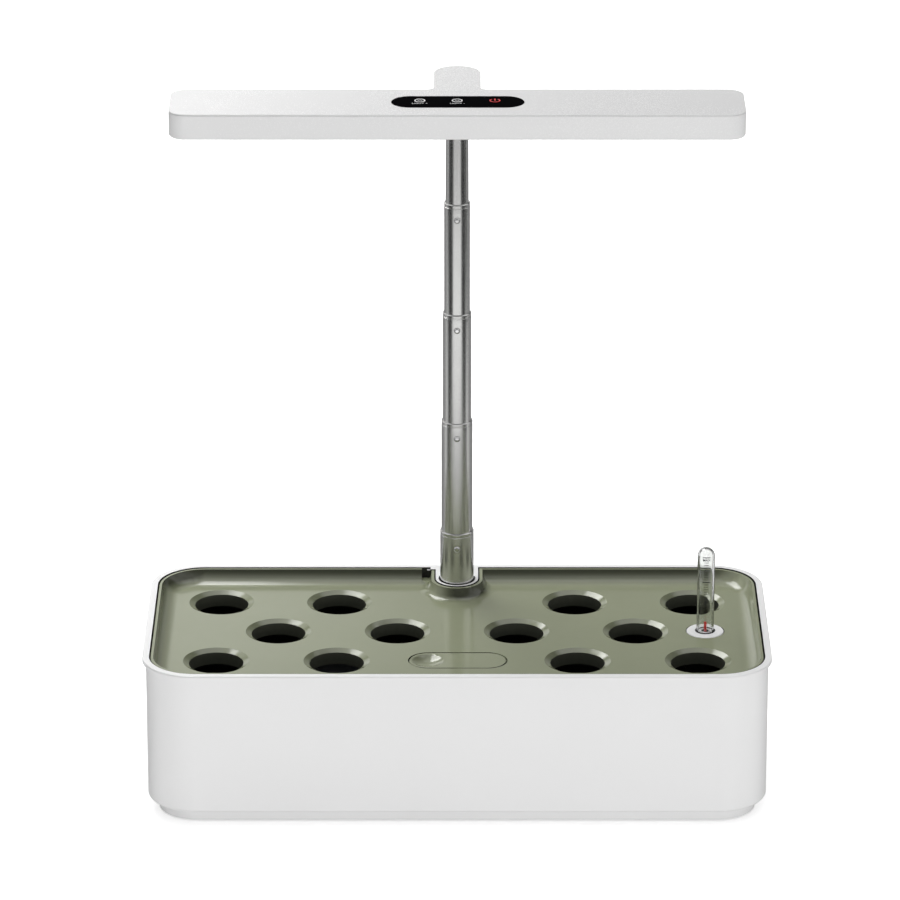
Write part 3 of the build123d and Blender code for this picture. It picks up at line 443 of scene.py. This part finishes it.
# %% The finishes of this object
finish = {
    "tank": plastic("tank white plastic", (0.83, 0.83, 0.83), 0.30, relief=0.003, dusty=0.02),
    "inside_shade": plastic("tank black lining", (0.012, 0.012, 0.011), 0.35),
    # The deck's colour carries painted slope shade, darker on slopes turned from the window light.
    "deck": plastic("deck sage plastic", (0.258, 0.279, 0.182), 0.14, grain=2600.0, relief=0.003,
                    dusty=0.02, shade_depth=0.17),
    "rubber": plastic("foot rubber", (0.06, 0.06, 0.06), 0.7, grain=1200.0, relief=0.02),
    "sleeve": plastic("sleeve dark plastic", (0.048, 0.051, 0.038), 0.45),
    "bush": plastic("liner plastic", (0.03, 0.03, 0.03), 0.4),
    "gap_shade": plastic("gauge seal", (0.02, 0.02, 0.018), 0.5),
    "post": metal("post brushed steel", (0.66, 0.66, 0.65), 0.25),
    "spring": metal("spring polished steel", (0.66, 0.66, 0.66), 0.12, depth=0.05),
    "gauge": plastic("gauge white plastic", (0.85, 0.85, 0.85), 0.22),
    "clear": clear("gauge clear plastic", (0.89, 0.90, 0.89), 0.02, 1.47),
    "red": plastic("stem red plastic", (0.55, 0.02, 0.02), 0.3),
    "float": plastic("float foam", (0.03, 0.03, 0.03), 0.8, clouds=0.1, grain=900.0, relief=0.05),
    "cage": plastic("cage dark plastic", (0.022, 0.023, 0.017), 0.45),
    "lamp": plastic("lamp white plastic", (0.76, 0.76, 0.76), 0.27, clouds=0.01, relief=0.002),
    "lens": plastic("lens milky plastic", (0.88, 0.90, 0.90), 0.45, Transmission_Weight=0.35, IOR=1.49),
    "led_plate": plastic("led plate white coat", (0.80, 0.81, 0.81), 0.5, grain=900.0),
    "led_case": plastic("led white case", (0.85, 0.85, 0.82), 0.4),
    "phosphor": plastic("led yellow phosphor", (0.78, 0.60, 0.10), 0.35, clouds=0.2, Coat_Weight=0.6),
    "panel": plastic("panel black glass", (0.002, 0.002, 0.0025), 0.06, clouds=0.0, relief=0.0005,
                     Specular_IOR_Level=0.03),
    "sign_white": plastic("sign white ink", (0.72, 0.72, 0.72), 0.5),
    "sign_red": plastic("sign red ink", (0.62, 0.015, 0.015), 0.5),
    "scale_ink": plastic("scale black ink", (0.01, 0.01, 0.01), 0.5),
    "board": plastic("board green lacquer", (0.02, 0.14, 0.05), 0.3, clouds=0.15),
    "steel": metal("screw plated steel", (0.60, 0.60, 0.60), 0.25, depth=0.05, along=2600.0),
    "jack": plastic("jack black plastic", (0.012, 0.012, 0.012), 0.35),
    "pump": plastic("pump black plastic", (0.02, 0.02, 0.022), 0.45, grain=1000.0, relief=0.02),
    "rotor": plastic("rotor grey plastic", (0.09, 0.10, 0.12), 0.4),
    "shaft": plastic("shaft white ceramic", (0.82, 0.82, 0.80), 0.12, clouds=0.02),
}
print(len(finish), "finishes")


# %% [markdown]
# ## From faceted solids to smooth parts
# A CAD solid arrives as loose flat triangles, which show as facets on a rounded corner. The
# corners could be modelled again, but the shape is right already, so a copy is welded, its
# edges over a set angle are kept sharp, and the rest is shaded smooth. Weighted normals keep
# the large flat faces flat right up to their small bevels.

# %% Welded copies
def evaluated(piece):
    """The piece's mesh with its modifiers applied, as a plain mesh."""
    bpy.context.view_layer.update()
    mesh = bpy.data.meshes.new_from_object(piece.evaluated_get(bpy.context.evaluated_depsgraph_get()))
    mesh.name = piece.name
    piece.modifiers.clear()
    piece.data = mesh
    return piece


def shade(piece, sharp=32.0):
    """Smooth shading with sharp edges over an angle, and normals that favour the large faces."""
    mesh = piece.data
    folds = bmesh.new()
    folds.from_mesh(mesh)
    for edge in folds.edges:
        edge.smooth = edge.calc_face_angle(pi) < radians(sharp)
    folds.to_mesh(mesh)
    folds.free()
    mesh.polygons.foreach_set("use_smooth", [True] * len(mesh.polygons))
    weight = piece.modifiers.new("weights", "WEIGHTED_NORMAL")
    weight.keep_sharp = True
    weight.mode = "FACE_AREA"
    return evaluated(piece)


def settle(piece, node):
    """The piece stands for a CAD node and rides on its body."""
    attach(piece, body_of[node])
    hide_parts(node)
    return piece


def smooth_part(name, node, slot, *materials, sharp=32.0):
    mesh = nodes[node].data.copy()
    mesh.name = name
    loose = bmesh.new()
    loose.from_mesh(mesh)
    bmesh.ops.remove_doubles(loose, verts=loose.verts, dist=0.002 * MM)
    bmesh.ops.dissolve_degenerate(loose, dist=0.001 * MM, edges=loose.edges)
    loose.to_mesh(mesh)
    loose.free()
    mesh.materials.clear()
    for material in materials:
        mesh.materials.append(material)
    piece = bpy.data.objects.new(name, mesh)
    bpy.context.scene.collection.objects.link(piece)
    settle(shade(piece, sharp), node)
    print(name, len(piece.data.polygons), "faces")
    return piece


# %% [markdown]
# ## Tank
# The tank is one deep moulding in gloss white. Its inside is painted dark as shade: the
# faces inside the wall, up to the rim, take a near-black finish that stands in for the shade
# in the tank and in the gap between the rim and the deck.

# %% Tank
tank = smooth_part("tank", "tank_shell", "tank", finish["tank"], finish["inside_shade"])
tank_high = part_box("tank_shell")[1]
RIM_STEP, WALL, CORNER = 2.0 * MM, 1.9 * MM, 27.1 * MM       # CORNER is the inner wall's radius
inner_x = tank_high.x - RIM_STEP - WALL
inner_y = tank_high.y - RIM_STEP - WALL


def inside_wall(point):
    """How far a point is outside the tank's inner wall, seen from above; negative is inside."""
    dx, dy = abs(point.x) - inner_x + CORNER, abs(point.y) - inner_y + CORNER
    return Vector((max(dx, 0), max(dy, 0))).length + min(max(dx, dy), 0) - CORNER


# Faces inside the wall between these heights are painted dark as shade, up to the rim, so the gap under
# the rim shows dark.
SHADE_LOW, SHADE_HIGH = 3.45, 94.3           # from above the tank's floor slab to the rim
STEP_TOP, STEP_IN, ON_WALL = 10.65, 6.45, 0.05  # below the step the wall stands further in
PAD_RIGHT, PAD_FRONT, PAD_UNDER = -12.6, 74, 88.5


def is_painted_shade(face):
    """Faces inside the wall take painted shade, all but the top of the pad under the pump's lead."""
    z, off = face.center.z / MM, inside_wall(face.center) / MM
    by_pad = face.center.x / MM < PAD_RIGHT and face.center.y / MM > PAD_FRONT and z > PAD_UNDER
    pad_top = by_pad and face.normal.z > 0.5
    reach = ON_WALL if z > STEP_TOP else -STEP_IN
    return SHADE_LOW < z < SHADE_HIGH and off < reach and not pad_top


for face in tank.data.polygons:
    face.material_index = int(is_painted_shade(face))
print("faces in painted shade:", sum(f.material_index for f in tank.data.polygons), "of", len(tank.data.polygons))

# %% [markdown]
# ## Deck, lid and lamp shell
# These keep their CAD shape. The deck's sage plastic is glossier than the tank, so that the
# window light draws a crisp bright band on each funnel. Faces inside the bores and in the
# gauge's seat are painted dark as shade.

# %% Deck, lid and liner
GAUGE_X, SEAT_R, SEAT_TOP = 145.9, 11.6, 87.1
PITCH_X, PITCH_Y, HOLE_R, HOLE_LIP = 70.0, 44.7, 15.9, 85.5
HOLES = [(c * PITCH_X, r * PITCH_Y) for r in (-1, 1) for c in (-2, -1, 1, 2)]
HOLES += [(c * PITCH_X, 0) for c in (-1.5, -0.5, 0.5, 1.5)]
deck = smooth_part("deck", "deck_tray", "deck", finish["deck"], finish["sleeve"], finish["gap_shade"],
                   sharp=24.0)
# Faces inside the bores, below the funnel lip, take painted shade.
for face in deck.data.polygons:
    x, y, z = face.center / MM
    bore = any((x - a) ** 2 + (y - b) ** 2 < (HOLE_R + 0.2) ** 2 for a, b in HOLES)
    # Faces in the gauge's seat take painted shade, a dark line in the gap round the disc.
    seat = (x - GAUGE_X) ** 2 + y ** 2 < SEAT_R ** 2 and z < SEAT_TOP
    face.material_index = 2 if seat else int(bore and z < HOLE_LIP)
smooth_part("lid", "refill_lid", "lid", finish["deck"])
smooth_part("post_liner", "post_bush", "bush", finish["bush"])

# %% Gauge disc
GROOVE_R, GROOVE_TOP = 6.1, 87.55
disc = smooth_part("gauge_disc", "gauge_collar", "gauge_white", finish["gauge"], finish["gap_shade"])
# Faces in the groove round the tube's foot take painted shade.
for face in disc.data.polygons:
    x, y, z = face.center / MM
    face.material_index = int((x - GAUGE_X) ** 2 + y ** 2 < GROOVE_R ** 2 and z < GROOVE_TOP)

# %% Other parts: name, node, and the slot that names the finish too
for name, node, slot in (
        ("gauge_cage", "float_cage", "cage"), ("gauge_float", "float_body", "float"),
        ("gauge_stem", "float_stem", "red"), ("lamp_shell", "lamp_housing", "lamp"),
        ("lamp_top", "lamp_cover", "lamp"), ("panel_glass", "touch_panel", "panel"),
        ("lamp_window", "lamp_lens", "lens"), ("led_plate", "led_board", "led_plate"),
        ("control_plate", "control_board", "board"), ("power_jack", "dc_inlet", "jack"),
        ("power_pin", "inlet_pin", "steel"), ("pump_body", "pump_housing", "pump"),
        ("pump_outlet", "pump_nozzle", "pump"), ("pump_intake", "pump_grille", "pump"),
        ("pump_rotor", "pump_impeller", "rotor"), ("pump_pin", "pump_shaft", "shaft"),
        *((f"button_{n}", f"snap_spring_{n}", "spring") for n in range(1, 5))):
    smooth_part(name, node, slot, finish[slot])

# %% [markdown]
# ## A lathe in Geometry Nodes
# Tubes, feet and cups are all turned: a profile is carried once round an axis. A screw
# modifier can do that for one piece. A node tree does it for any profile, so one lathe
# serves them all. The piece's own mesh holds only the profile, as a row of points with the
# radius in X and the height in Z. The tree lays a grid, looks up each column's radius and
# height by its place in the row, and bends the grid round into a closed skin.

# %% Lathe tree
lathe, given, made = group(
    "lathe", "GeometryNodeTree",
    {"Profile": ("Geometry", None), "Points": ("Int", 4), "Segments": ("Int", 96),
     "Centre": ("Vector", (0, 0, 0)), "Material": ("Material", None)},
    {"Skin": ("Geometry", None)})
columns = calc(lathe, "ADD", given.outputs["Segments"], 1.0)
sheet = {"Vertices X": columns, "Vertices Y": given.outputs["Points"]}
sheet = add(lathe, "GeometryNodeMeshGrid", sheet)
index = add(lathe, "GeometryNodeInputIndex").outputs[0]
row = calc(lathe, "FLOORED_MODULO", index, given.outputs["Points"])
turn = calc(lathe, "DIVIDE", calc(lathe, "ADD", index, 0.5), given.outputs["Points"])
turn = calc(lathe, "FLOOR", turn)
angle = calc(lathe, "MULTIPLY", calc(lathe, "DIVIDE", turn, given.outputs["Segments"]), 2 * pi)
found = add(lathe, "GeometryNodeSampleIndex", {"Geometry": given.outputs["Profile"], "Index": row},
            data_type="FLOAT_VECTOR", domain="POINT")
lathe.links.new(add(lathe, "GeometryNodeInputPosition").outputs[0], found.inputs["Value"])
drawn = add(lathe, "ShaderNodeSeparateXYZ", {0: found.outputs["Value"]})
round_x = calc(lathe, "MULTIPLY", drawn.outputs["X"], calc(lathe, "COSINE", angle))
round_y = calc(lathe, "MULTIPLY", drawn.outputs["X"], calc(lathe, "SINE", angle))
spot = add(lathe, "ShaderNodeCombineXYZ", {0: round_x, 1: round_y, 2: drawn.outputs["Z"]}).outputs[0]
spot = {0: spot, 1: given.outputs["Centre"]}
spot = add(lathe, "ShaderNodeVectorMath", spot, operation="ADD").outputs[0]
bent = add(lathe, "GeometryNodeSetPosition", {"Geometry": sheet.outputs["Mesh"], "Position": spot})
closed = {"Geometry": bent.outputs[0], "Distance": 0.001 * MM}
closed = add(lathe, "GeometryNodeMergeByDistance", closed).outputs[0]


def paint_end(tree, geometry, material):
    """The end of each tree: instances made real, then the material from the tree's own input."""
    solid = add(tree, "GeometryNodeRealizeInstances", {0: geometry}).outputs[0]
    painted = {"Geometry": solid, "Material": material}
    return add(tree, "GeometryNodeSetMaterial", painted).outputs[0]


join(lathe, made, Skin=paint_end(lathe, closed, given.outputs["Material"]))
print("lathe of", len(lathe.nodes), "nodes")

# %% Running a tree
def run_tree(name, points, tree, **values):
    """A piece whose mesh is only points, in mm; the tree makes the rest from its named inputs."""
    mesh = bpy.data.meshes.new(name)
    mesh.from_pydata([Vector(p) * MM for p in points], [], [])
    piece = bpy.data.objects.new(name, mesh)
    bpy.context.scene.collection.objects.link(piece)
    maker = piece.modifiers.new("maker", "NODES")
    maker.node_group = tree
    for socket in tree.interface.items_tree:
        if socket.in_out == "INPUT" and socket.name in values:
            maker[socket.identifier] = values[socket.name]
    return evaluated(piece)


def outward(piece):
    """Weld a closed skin and turn its faces outwards."""
    skin_mesh = bmesh.new()
    skin_mesh.from_mesh(piece.data)
    bmesh.ops.remove_doubles(skin_mesh, verts=skin_mesh.verts, dist=0.0005 * MM)
    bmesh.ops.recalc_face_normals(skin_mesh, faces=skin_mesh.faces)
    skin_mesh.to_mesh(piece.data)
    skin_mesh.free()
    return piece


def turned(name, profile, centre, material, closed=True, segments=96):
    """A turned piece from (radius, height) points in mm, about an upright axis through centre."""
    points = [(r, 0, z) for r, z in profile + profile[:1] * closed]
    piece = run_tree(name, points, lathe, Points=len(points), Segments=segments,
                     Centre=Vector((*centre, 0)) * MM, Material=material)
    return outward(piece)


# %% [markdown]
# ## The post
# Five steel tubes slide in one another. Each outer tube is rolled in at its mouth, which
# leaves a bright lip over a dark groove, and has a hole for the spring button that locks the
# next tube. The lathe turns each tube, and a boolean drills it, as in the workshop.

# %% Post tubes
POST_Y = 64.6
TUBE_R = (10.0, 9.2, 8.4, 7.6, 6.8)
TUBE_TOP = (126.2, 196.0, 263.6, 331.5, 406.0)
TUBE_WALL, TUBE_FOOT, INSERT, BUTTON_DOWN, BUTTON_HOLE = 0.7, 46.0, 19.2, 9.2, 1.9
HOLE_RINGS = (-3.5, -1.2, 1.2, 3.5)             # rows of points above and below each hole
# The rolled mouth from below: how far it is in from the radius, and how far under the top.
MOUTH = ((0, 2.6), (0.05, 2.4), (0.2, 2.3), (0.2, 1.8), (0.03, 1.65), (0, 1.45), (0, 0.45),
         (0.06, 0.2), (0.22, 0.04))


def drill(piece, heights):
    """Holes through the front wall, for the buttons."""
    drills = bmesh.new()
    for z in heights:
        at = Matrix.Translation(Vector((0, POST_Y - 8, z)) * MM) @ Matrix.Rotation(pi / 2, 4, "X")
        bmesh.ops.create_cone(drills, cap_ends=True, segments=32, radius1=BUTTON_HOLE * MM,
                              radius2=BUTTON_HOLE * MM, depth=10 * MM, matrix=at)
    mesh = bpy.data.meshes.new("drill")
    drills.to_mesh(mesh)
    drills.free()
    tool = bpy.data.objects.new("drill", mesh)
    bpy.context.scene.collection.objects.link(tool)
    cut = piece.modifiers.new("cut", "BOOLEAN")
    cut.object, cut.solver = tool, "EXACT"
    evaluated(piece)
    bpy.data.objects.remove(tool)
    return piece


def post_tube(n):
    """Tube n, counted from 0 at the bottom, as a closed profile on the lathe."""
    radius, top = TUBE_R[n], TUBE_TOP[n]
    foot = TUBE_FOOT if n == 0 else TUBE_TOP[n - 1] - INSERT
    holes = [TUBE_TOP[k] - BUTTON_DOWN for k in (n - 1, n) if 0 <= k < 4]
    rings = sorted(z + side for z in holes for side in HOLE_RINGS)
    outside = [(radius, foot), *((radius, z) for z in rings)]
    if n < 4:
        outside += [(radius - inset, top - under) for inset, under in MOUTH]
    outside += [(radius - 0.4, top), (radius - TUBE_WALL, top - 0.05)]
    bore = [(radius - TUBE_WALL, z) for z in reversed(rings)] + [(radius - TUBE_WALL, foot)]
    tube = turned(f"tube_{n + 1}", outside + bore, (0, POST_Y), finish["post"])
    settle(shade(drill(tube, holes)), f"post_tube_{n + 1}")
    print(tube.name, len(tube.data.polygons), "faces,", len(holes), "holes")


for n in range(5):
    post_tube(n)

# %% [markdown]
# ## The water gauge
# A clear tube closed by a dome stands on the white disc. Real clear tube is a wall with an
# inside, and both skins have to be there, or the light bends as in a solid rod. It hardly
# shades what stands in it, so it casts no shadow here.

# %% Gauge tube
GAUGE_R, GAUGE_WALL = 5.1, 0.9
tube_low, tube_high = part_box("gauge_tube")
GAUGE_FOOT, GAUGE_TOP = tube_low.z / MM, tube_high.z / MM
dome = [radians(90 * k / 16) for k in range(17)]
spring_line = GAUGE_TOP - GAUGE_R
bulb = [(GAUGE_R * sin(a), spring_line + GAUGE_R * cos(a)) for a in dome]
bore = GAUGE_R - GAUGE_WALL
hollow = [(bore * sin(a), spring_line + bore * cos(a)) for a in reversed(dome)]
foot_edges = [(GAUGE_R, GAUGE_FOOT), (bore, GAUGE_FOOT)]
gauge_glass = turned("gauge_glass", bulb + foot_edges + hollow, (GAUGE_X, 0), finish["clear"],
                     closed=False)
settle(shade(gauge_glass), "gauge_tube")
gauge_glass.visible_shadow = False
print("gauge tube", round(GAUGE_TOP - GAUGE_FOOT, 1), "mm tall")

# %% [markdown]
# ## Printed arcs
# The scale on the tube and the round signs on the touch panel are the same thing: a thin
# line of ink that follows an arc. A node tree draws an arc at each point it is given and
# sweeps a small rectangle along it, so that ink has a real edge.

# %% Arc tree
arcs, given, made = group(
    "printed arcs", "GeometryNodeTree",
    {"Places": ("Geometry", None), "Radius": ("Float", 0.005), "Start": ("Float", 0.0),
     "Sweep": ("Float", 1.0), "Across": ("Float", 0.0005), "Thick": ("Float", 0.00005),
     "Material": ("Material", None)},
    {"Ink": ("Geometry", None)})
arc = add(arcs, "GeometryNodeCurveArc", {"Resolution": 48, "Radius": given.outputs["Radius"],
                                        "Start Angle": given.outputs["Start"],
                                        "Sweep Angle": given.outputs["Sweep"]}, mode="RADIUS")
nib = add(arcs, "GeometryNodeCurvePrimitiveQuadrilateral", {"Width": given.outputs["Across"],
                                                           "Height": given.outputs["Thick"]})
line = {"Curve": arc.outputs["Curve"], "Profile Curve": nib.outputs["Curve"], "Fill Caps": True}
line = add(arcs, "GeometryNodeCurveToMesh", line).outputs[0]
copies = {"Points": given.outputs["Places"], "Instance": line}
copies = add(arcs, "GeometryNodeInstanceOnPoints", copies).outputs[0]
join(arcs, made, Ink=paint_end(arcs, copies, given.outputs["Material"]))
print("printed arcs of", len(arcs.nodes), "nodes")


def printed(name, places, radius, start, sweep, across, thick, ink, body):
    """Arcs of ink about upright axes; lengths in mm, angles in degrees from +X."""
    piece = run_tree(name, places, arcs, Radius=radius * MM, Start=radians(start), Sweep=radians(sweep),
                     Across=across * MM, Thick=thick * MM, Material=finish[ink])
    outward(piece)
    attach(piece, body)
    return piece


# %% Scale on the gauge
SCALE_TOP, SCALE_PITCH, SCALE_TICKS, SCALE_LONG = spring_line - 2.7, 1.53, 18, 8
FRONT, INK, INK_R = 270, 0.05, GAUGE_R + 0.01        # degrees, then mm
ticks = [(GAUGE_X, 0, SCALE_TOP - SCALE_PITCH * k) for k in range(SCALE_TICKS) if k != SCALE_LONG]
lines = [(GAUGE_X, 0, spring_line + 0.5), (GAUGE_X, 0, SCALE_TOP - SCALE_PITCH * SCALE_LONG)]
for name, places, half, tall in (("scale_ticks", ticks, 15, 0.3), ("scale_lines", lines, 26, 0.55)):
    printed(name, places, INK_R, FRONT - half, 2 * half, INK, tall, "scale_ink", "deck")
print(len(ticks), "short marks and", len(lines), "long ones")

# %% Words
def lettering(name, words, size, thick, bold=0.0):
    """Words as a mesh lying in the XY plane, centred, in mm; bold widens every stroke."""
    curve = bpy.data.curves.new(name, "FONT")
    curve.body, curve.size, curve.extrude, curve.offset = words, size, thick / 2, bold
    curve.align_x, curve.align_y, curve.resolution_u = "CENTER", "CENTER", 4
    text = bpy.data.objects.new(name, curve)
    bpy.context.scene.collection.objects.link(text)
    bpy.context.view_layer.update()
    mesh = bpy.data.meshes.new_from_object(text.evaluated_get(bpy.context.evaluated_depsgraph_get()))
    bpy.data.objects.remove(text)
    mesh.name = name
    return mesh


def inked(name, mesh, ink, body):
    """A piece of ink from a finished mesh."""
    mesh.materials.clear()
    mesh.materials.append(finish[ink])
    piece = bpy.data.objects.new(name, mesh)
    bpy.context.scene.collection.objects.link(piece)
    outward(piece)
    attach(piece, body)
    return piece


WORD_UNDER = 1.15                                # from where the dome springs
word = lettering("scale_word", "MAX", 2.1, INK, bold=0.045)
for vertex in word.vertices:
    across, up, out = vertex.co
    angle, reach, level = across / GAUGE_R, INK_R + out, spring_line - WORD_UNDER + up
    vertex.co = Vector((GAUGE_X + reach * sin(angle), -reach * cos(angle), level)) * MM
inked("scale_word", word, "scale_ink", "deck")

# %% [markdown]
# ## Signs on the touch panel
# Three touch signs lie on the glass: brighter, dimmer and power. They are flat ink, at most
# a twentieth of a millimetre thick. Only plain signs and two plain words are printed.

# %% Touch signs
PANEL_X, PANEL_Y = 0.3, 7.35
GLASS_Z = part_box("touch_panel")[1].z / MM + 0.02
SIGN_Y, WORD_Y, SIGN_R, STROKE, GAP_HALF = PANEL_Y + 2.2, PANEL_Y - 3.4, 2.8, 0.75, 38
BRIGHTER, DIMMER, POWER = ((PANEL_X + along, SIGN_Y) for along in (-21.6, -0.3, 21.2))
printed("sign_rings", [(*BRIGHTER, GLASS_Z), (*DIMMER, GLASS_Z)], SIGN_R, 0, 360, STROKE, INK,
        "sign_white", "lamp")
printed("sign_power_ring", [(*POWER, GLASS_Z)], SIGN_R, 90 + GAP_HALF, 360 - 2 * GAP_HALF, STROKE, INK,
        "sign_red", "lamp")


def flat_ink(name, outlines, ink):
    """Flat shapes on the glass, each from its corners in mm, with a thin edge."""
    flat = bmesh.new()
    for outline in outlines:
        corners = [flat.verts.new(Vector((x, y, GLASS_Z)) * MM) for x, y in outline]
        raised = bmesh.ops.extrude_face_region(flat, geom=[flat.faces.new(corners)])
        for vertex in (v for v in raised["geom"] if isinstance(v, bmesh.types.BMVert)):
            vertex.co.z += INK / 2 * MM
    mesh = bpy.data.meshes.new(name)
    flat.to_mesh(mesh)
    flat.free()
    return inked(name, mesh, ink, "lamp")


def chevron(centre, way, half=1.3, rise=0.75, thick=0.6):
    """An arrow head that points up for way 1 and down for -1."""
    x, y = centre
    inner, outer = way * (rise - thick), way * (rise + thick)
    return [(x - half, y - way * rise), (x, y + way * rise), (x + half, y - way * rise),
            (x + half, y - inner), (x, y + outer), (x - half, y - inner)]


def bar(centre, wide, tall, lift=0.0):
    """An upright bar, lifted off its sign's centre."""
    x, y = centre[0], centre[1] + lift
    return [(x - wide / 2, y - tall / 2), (x + wide / 2, y - tall / 2),
            (x + wide / 2, y + tall / 2), (x - wide / 2, y + tall / 2)]


flat_ink("sign_arrows", [chevron(BRIGHTER, 1), chevron(DIMMER, -1)], "sign_white")
flat_ink("sign_power_bar", [bar(POWER, 0.8, 3.2, lift=1.5)], "sign_red")
for name, words, sign in (("word_brighter", "LIGHT +", BRIGHTER), ("word_dimmer", "LIGHT -", DIMMER)):
    word = lettering(name, words, 2.5, INK)
    for vertex in word.vertices:
        vertex.co = (Vector((sign[0], WORD_Y, GLASS_Z)) + vertex.co) * MM
    inked(name, word, "sign_white", "lamp")
print("three signs and two words on the glass")

# %% [markdown]
# ## Copies on points
# Screws, lamps, feet and cups repeat. Each is drawn once, at the origin, and a node tree
# sets a copy on every point of the piece, then makes the copies real mesh.

# %% Copy tree
stamp, given, made = group(
    "copies on points", "GeometryNodeTree",
    {"Places": ("Geometry", None), "Pattern": ("Object", None), "Material": ("Material", None)},
    {"Copies": ("Geometry", None)})
shape = {"Object": given.outputs["Pattern"]}
shape = add(stamp, "GeometryNodeObjectInfo", shape, transform_space="ORIGINAL")
copies = {"Points": given.outputs["Places"], "Instance": shape.outputs["Geometry"]}
copies = add(stamp, "GeometryNodeInstanceOnPoints", copies).outputs[0]
join(stamp, made, Copies=paint_end(stamp, copies, given.outputs["Material"]))
print("copies on points of", len(stamp.nodes), "nodes")


def copies_of(name, pattern, places, material):
    """The pattern piece, drawn at the origin, copied to each place; the pattern itself is removed."""
    piece = run_tree(name, places, stamp, Pattern=pattern, Material=material)
    bpy.data.objects.remove(pattern)
    return shade(outward(piece))


def from_bmesh(name, solid):
    """A pattern piece from a bmesh."""
    mesh = bpy.data.meshes.new(name)
    solid.to_mesh(mesh)
    solid.free()
    pattern = bpy.data.objects.new(name, mesh)
    bpy.context.scene.collection.objects.link(pattern)
    return pattern


# %% [markdown]
# ## Light-emitting chips
# Under the milky window sit rows of chips: a white case that faces down, with a round
# pool of yellow phosphor in it.

# %% Chips
LED_X, LED_Y, LED_COLS, LED_ROWS, CHIP, CASE, BAR_Y = 16.4, 12.0, 18, 3, 2.8, 0.6, 7.35
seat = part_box("led_chips")[1].z / MM
spots = [((c - (LED_COLS - 1) / 2) * LED_X, BAR_Y + (r - 1) * LED_Y, seat)
         for c in range(LED_COLS) for r in range(LED_ROWS)]


def chip_case():
    """A white case under the origin, with bevelled edges."""
    case = bmesh.new()
    sized = Matrix.Diagonal((CHIP * MM, CHIP * MM, CASE * MM, 1))
    bmesh.ops.create_cube(case, size=1.0, matrix=Matrix.Translation((0, 0, -CASE / 2 * MM)) @ sized)
    bmesh.ops.bevel(case, geom=case.edges, offset=0.12 * MM, segments=1, affect="EDGES")
    return from_bmesh("chip_case", case)


def chip_pool():
    """A pool of phosphor that stands a little out of the case."""
    pool = bmesh.new()
    bmesh.ops.create_cone(pool, cap_ends=True, segments=16, radius1=0.8 * MM, radius2=1.1 * MM,
                          depth=0.12 * MM, matrix=Matrix.Translation((0, 0, -0.62 * MM)))
    return from_bmesh("chip_pool", pool)


settle(copies_of("led_cases", chip_case(), spots, finish["led_case"]), "led_chips")
pools = copies_of("led_pools", chip_pool(), spots, finish["phosphor"])
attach(pools, "lamp")
print(len(spots), "chips")

# %% [markdown]
# ## Screws
# Five small pan heads hold the lamp's shell to its cover from below, each with a cross
# recess. The cross is cut out of the head before the head is copied.

# %% Screws
SCREW_PLACES = [(x, BAR_Y + y) for x in (-157.6, 157.6) for y in (-12.0, 12.0)] + [(0, 45.0)]
screw_low, screw_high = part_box("lamp_screws")


def screw_pattern():
    """Head at the origin facing down, with its shank above it."""
    length = (screw_high.z - screw_low.z) / MM
    profile = [(0, 0.0), (1.5, 0.0), (1.95, 0.12), (2.2, 0.4), (2.2, 0.6), (1.1, 0.6),
               (1.1, length - 0.6), (0.5, length), (0, length)]
    head = turned("screw", profile, (0, 0), finish["steel"], closed=False, segments=32)
    cross = bmesh.new()
    for wide, shade_depth in ((2.4, 0.5), (0.5, 2.4)):
        arm = Matrix.Diagonal((wide * MM, shade_depth * MM, 0.7 * MM, 1))
        bmesh.ops.create_cube(cross, size=1.0, matrix=arm)
    tool = from_bmesh("cross", cross)
    cut = head.modifiers.new("cut", "BOOLEAN")
    cut.object, cut.solver, cut.use_self = tool, "EXACT", True
    evaluated(head)
    bpy.data.objects.remove(tool)
    return head


places = [(x, y, screw_low.z / MM) for x, y in SCREW_PLACES]
settle(copies_of("lamp_fasteners", screw_pattern(), places, finish["steel"]), "lamp_screws")
print(len(places), "screws")

# %% [markdown]
# ## Rubber feet and suction cups
# Both are soft turned pieces. The feet are pads with a rounded edge that stick in shallow
# wells under the tank. The cups hold the pump to the tank's floor.

# %% Feet and cups
FEET = [(x, y, 0) for x in (-146, 146) for y in (-54, 54)]
profile = [(0, 0.0), (6.6, 0.0), (7.4, 0.15), (7.9, 0.6), (8.0, 1.0), (8.0, 2.2), (0, 2.2)]
pad = turned("pad", profile, (0, 0), finish["rubber"], closed=False, segments=48)
settle(copies_of("feet", pad, FEET, finish["rubber"]), "rubber_feet")
cups_low, cups_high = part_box("pump_cups")
CUP_H = (cups_high.z - cups_low.z) / MM
profile = [(0, 1.2), (2.5, 0.9), (4.85, 0.0), (5.0, 0.12), (4.2, 0.8), (2.9, 2.3), (2.0, 3.3),
           (2.0, CUP_H - 0.3), (1.7, CUP_H), (0, CUP_H)]
cup = turned("cup", profile, (0, 0), finish["rubber"], closed=False, segments=32)
PUMP_X, PUMP_Y = -66.0, 52.0
CUPS = [(PUMP_X + dx, PUMP_Y + dy, cups_low.z / MM) for dx in (-13.0, 13.0) for dy in (-10.5, 10.5)]
settle(copies_of("pump_feet", cup, CUPS, finish["rubber"]), "pump_cups")
print(len(FEET), "feet and", len(CUPS), "cups")

# %% Finish
look_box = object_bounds()
growth = [(b - a) / MM for before, after in zip(cad_box, look_box) for a, b in zip(before, after)]
print("grew by", [round(value, 2) for value in growth])
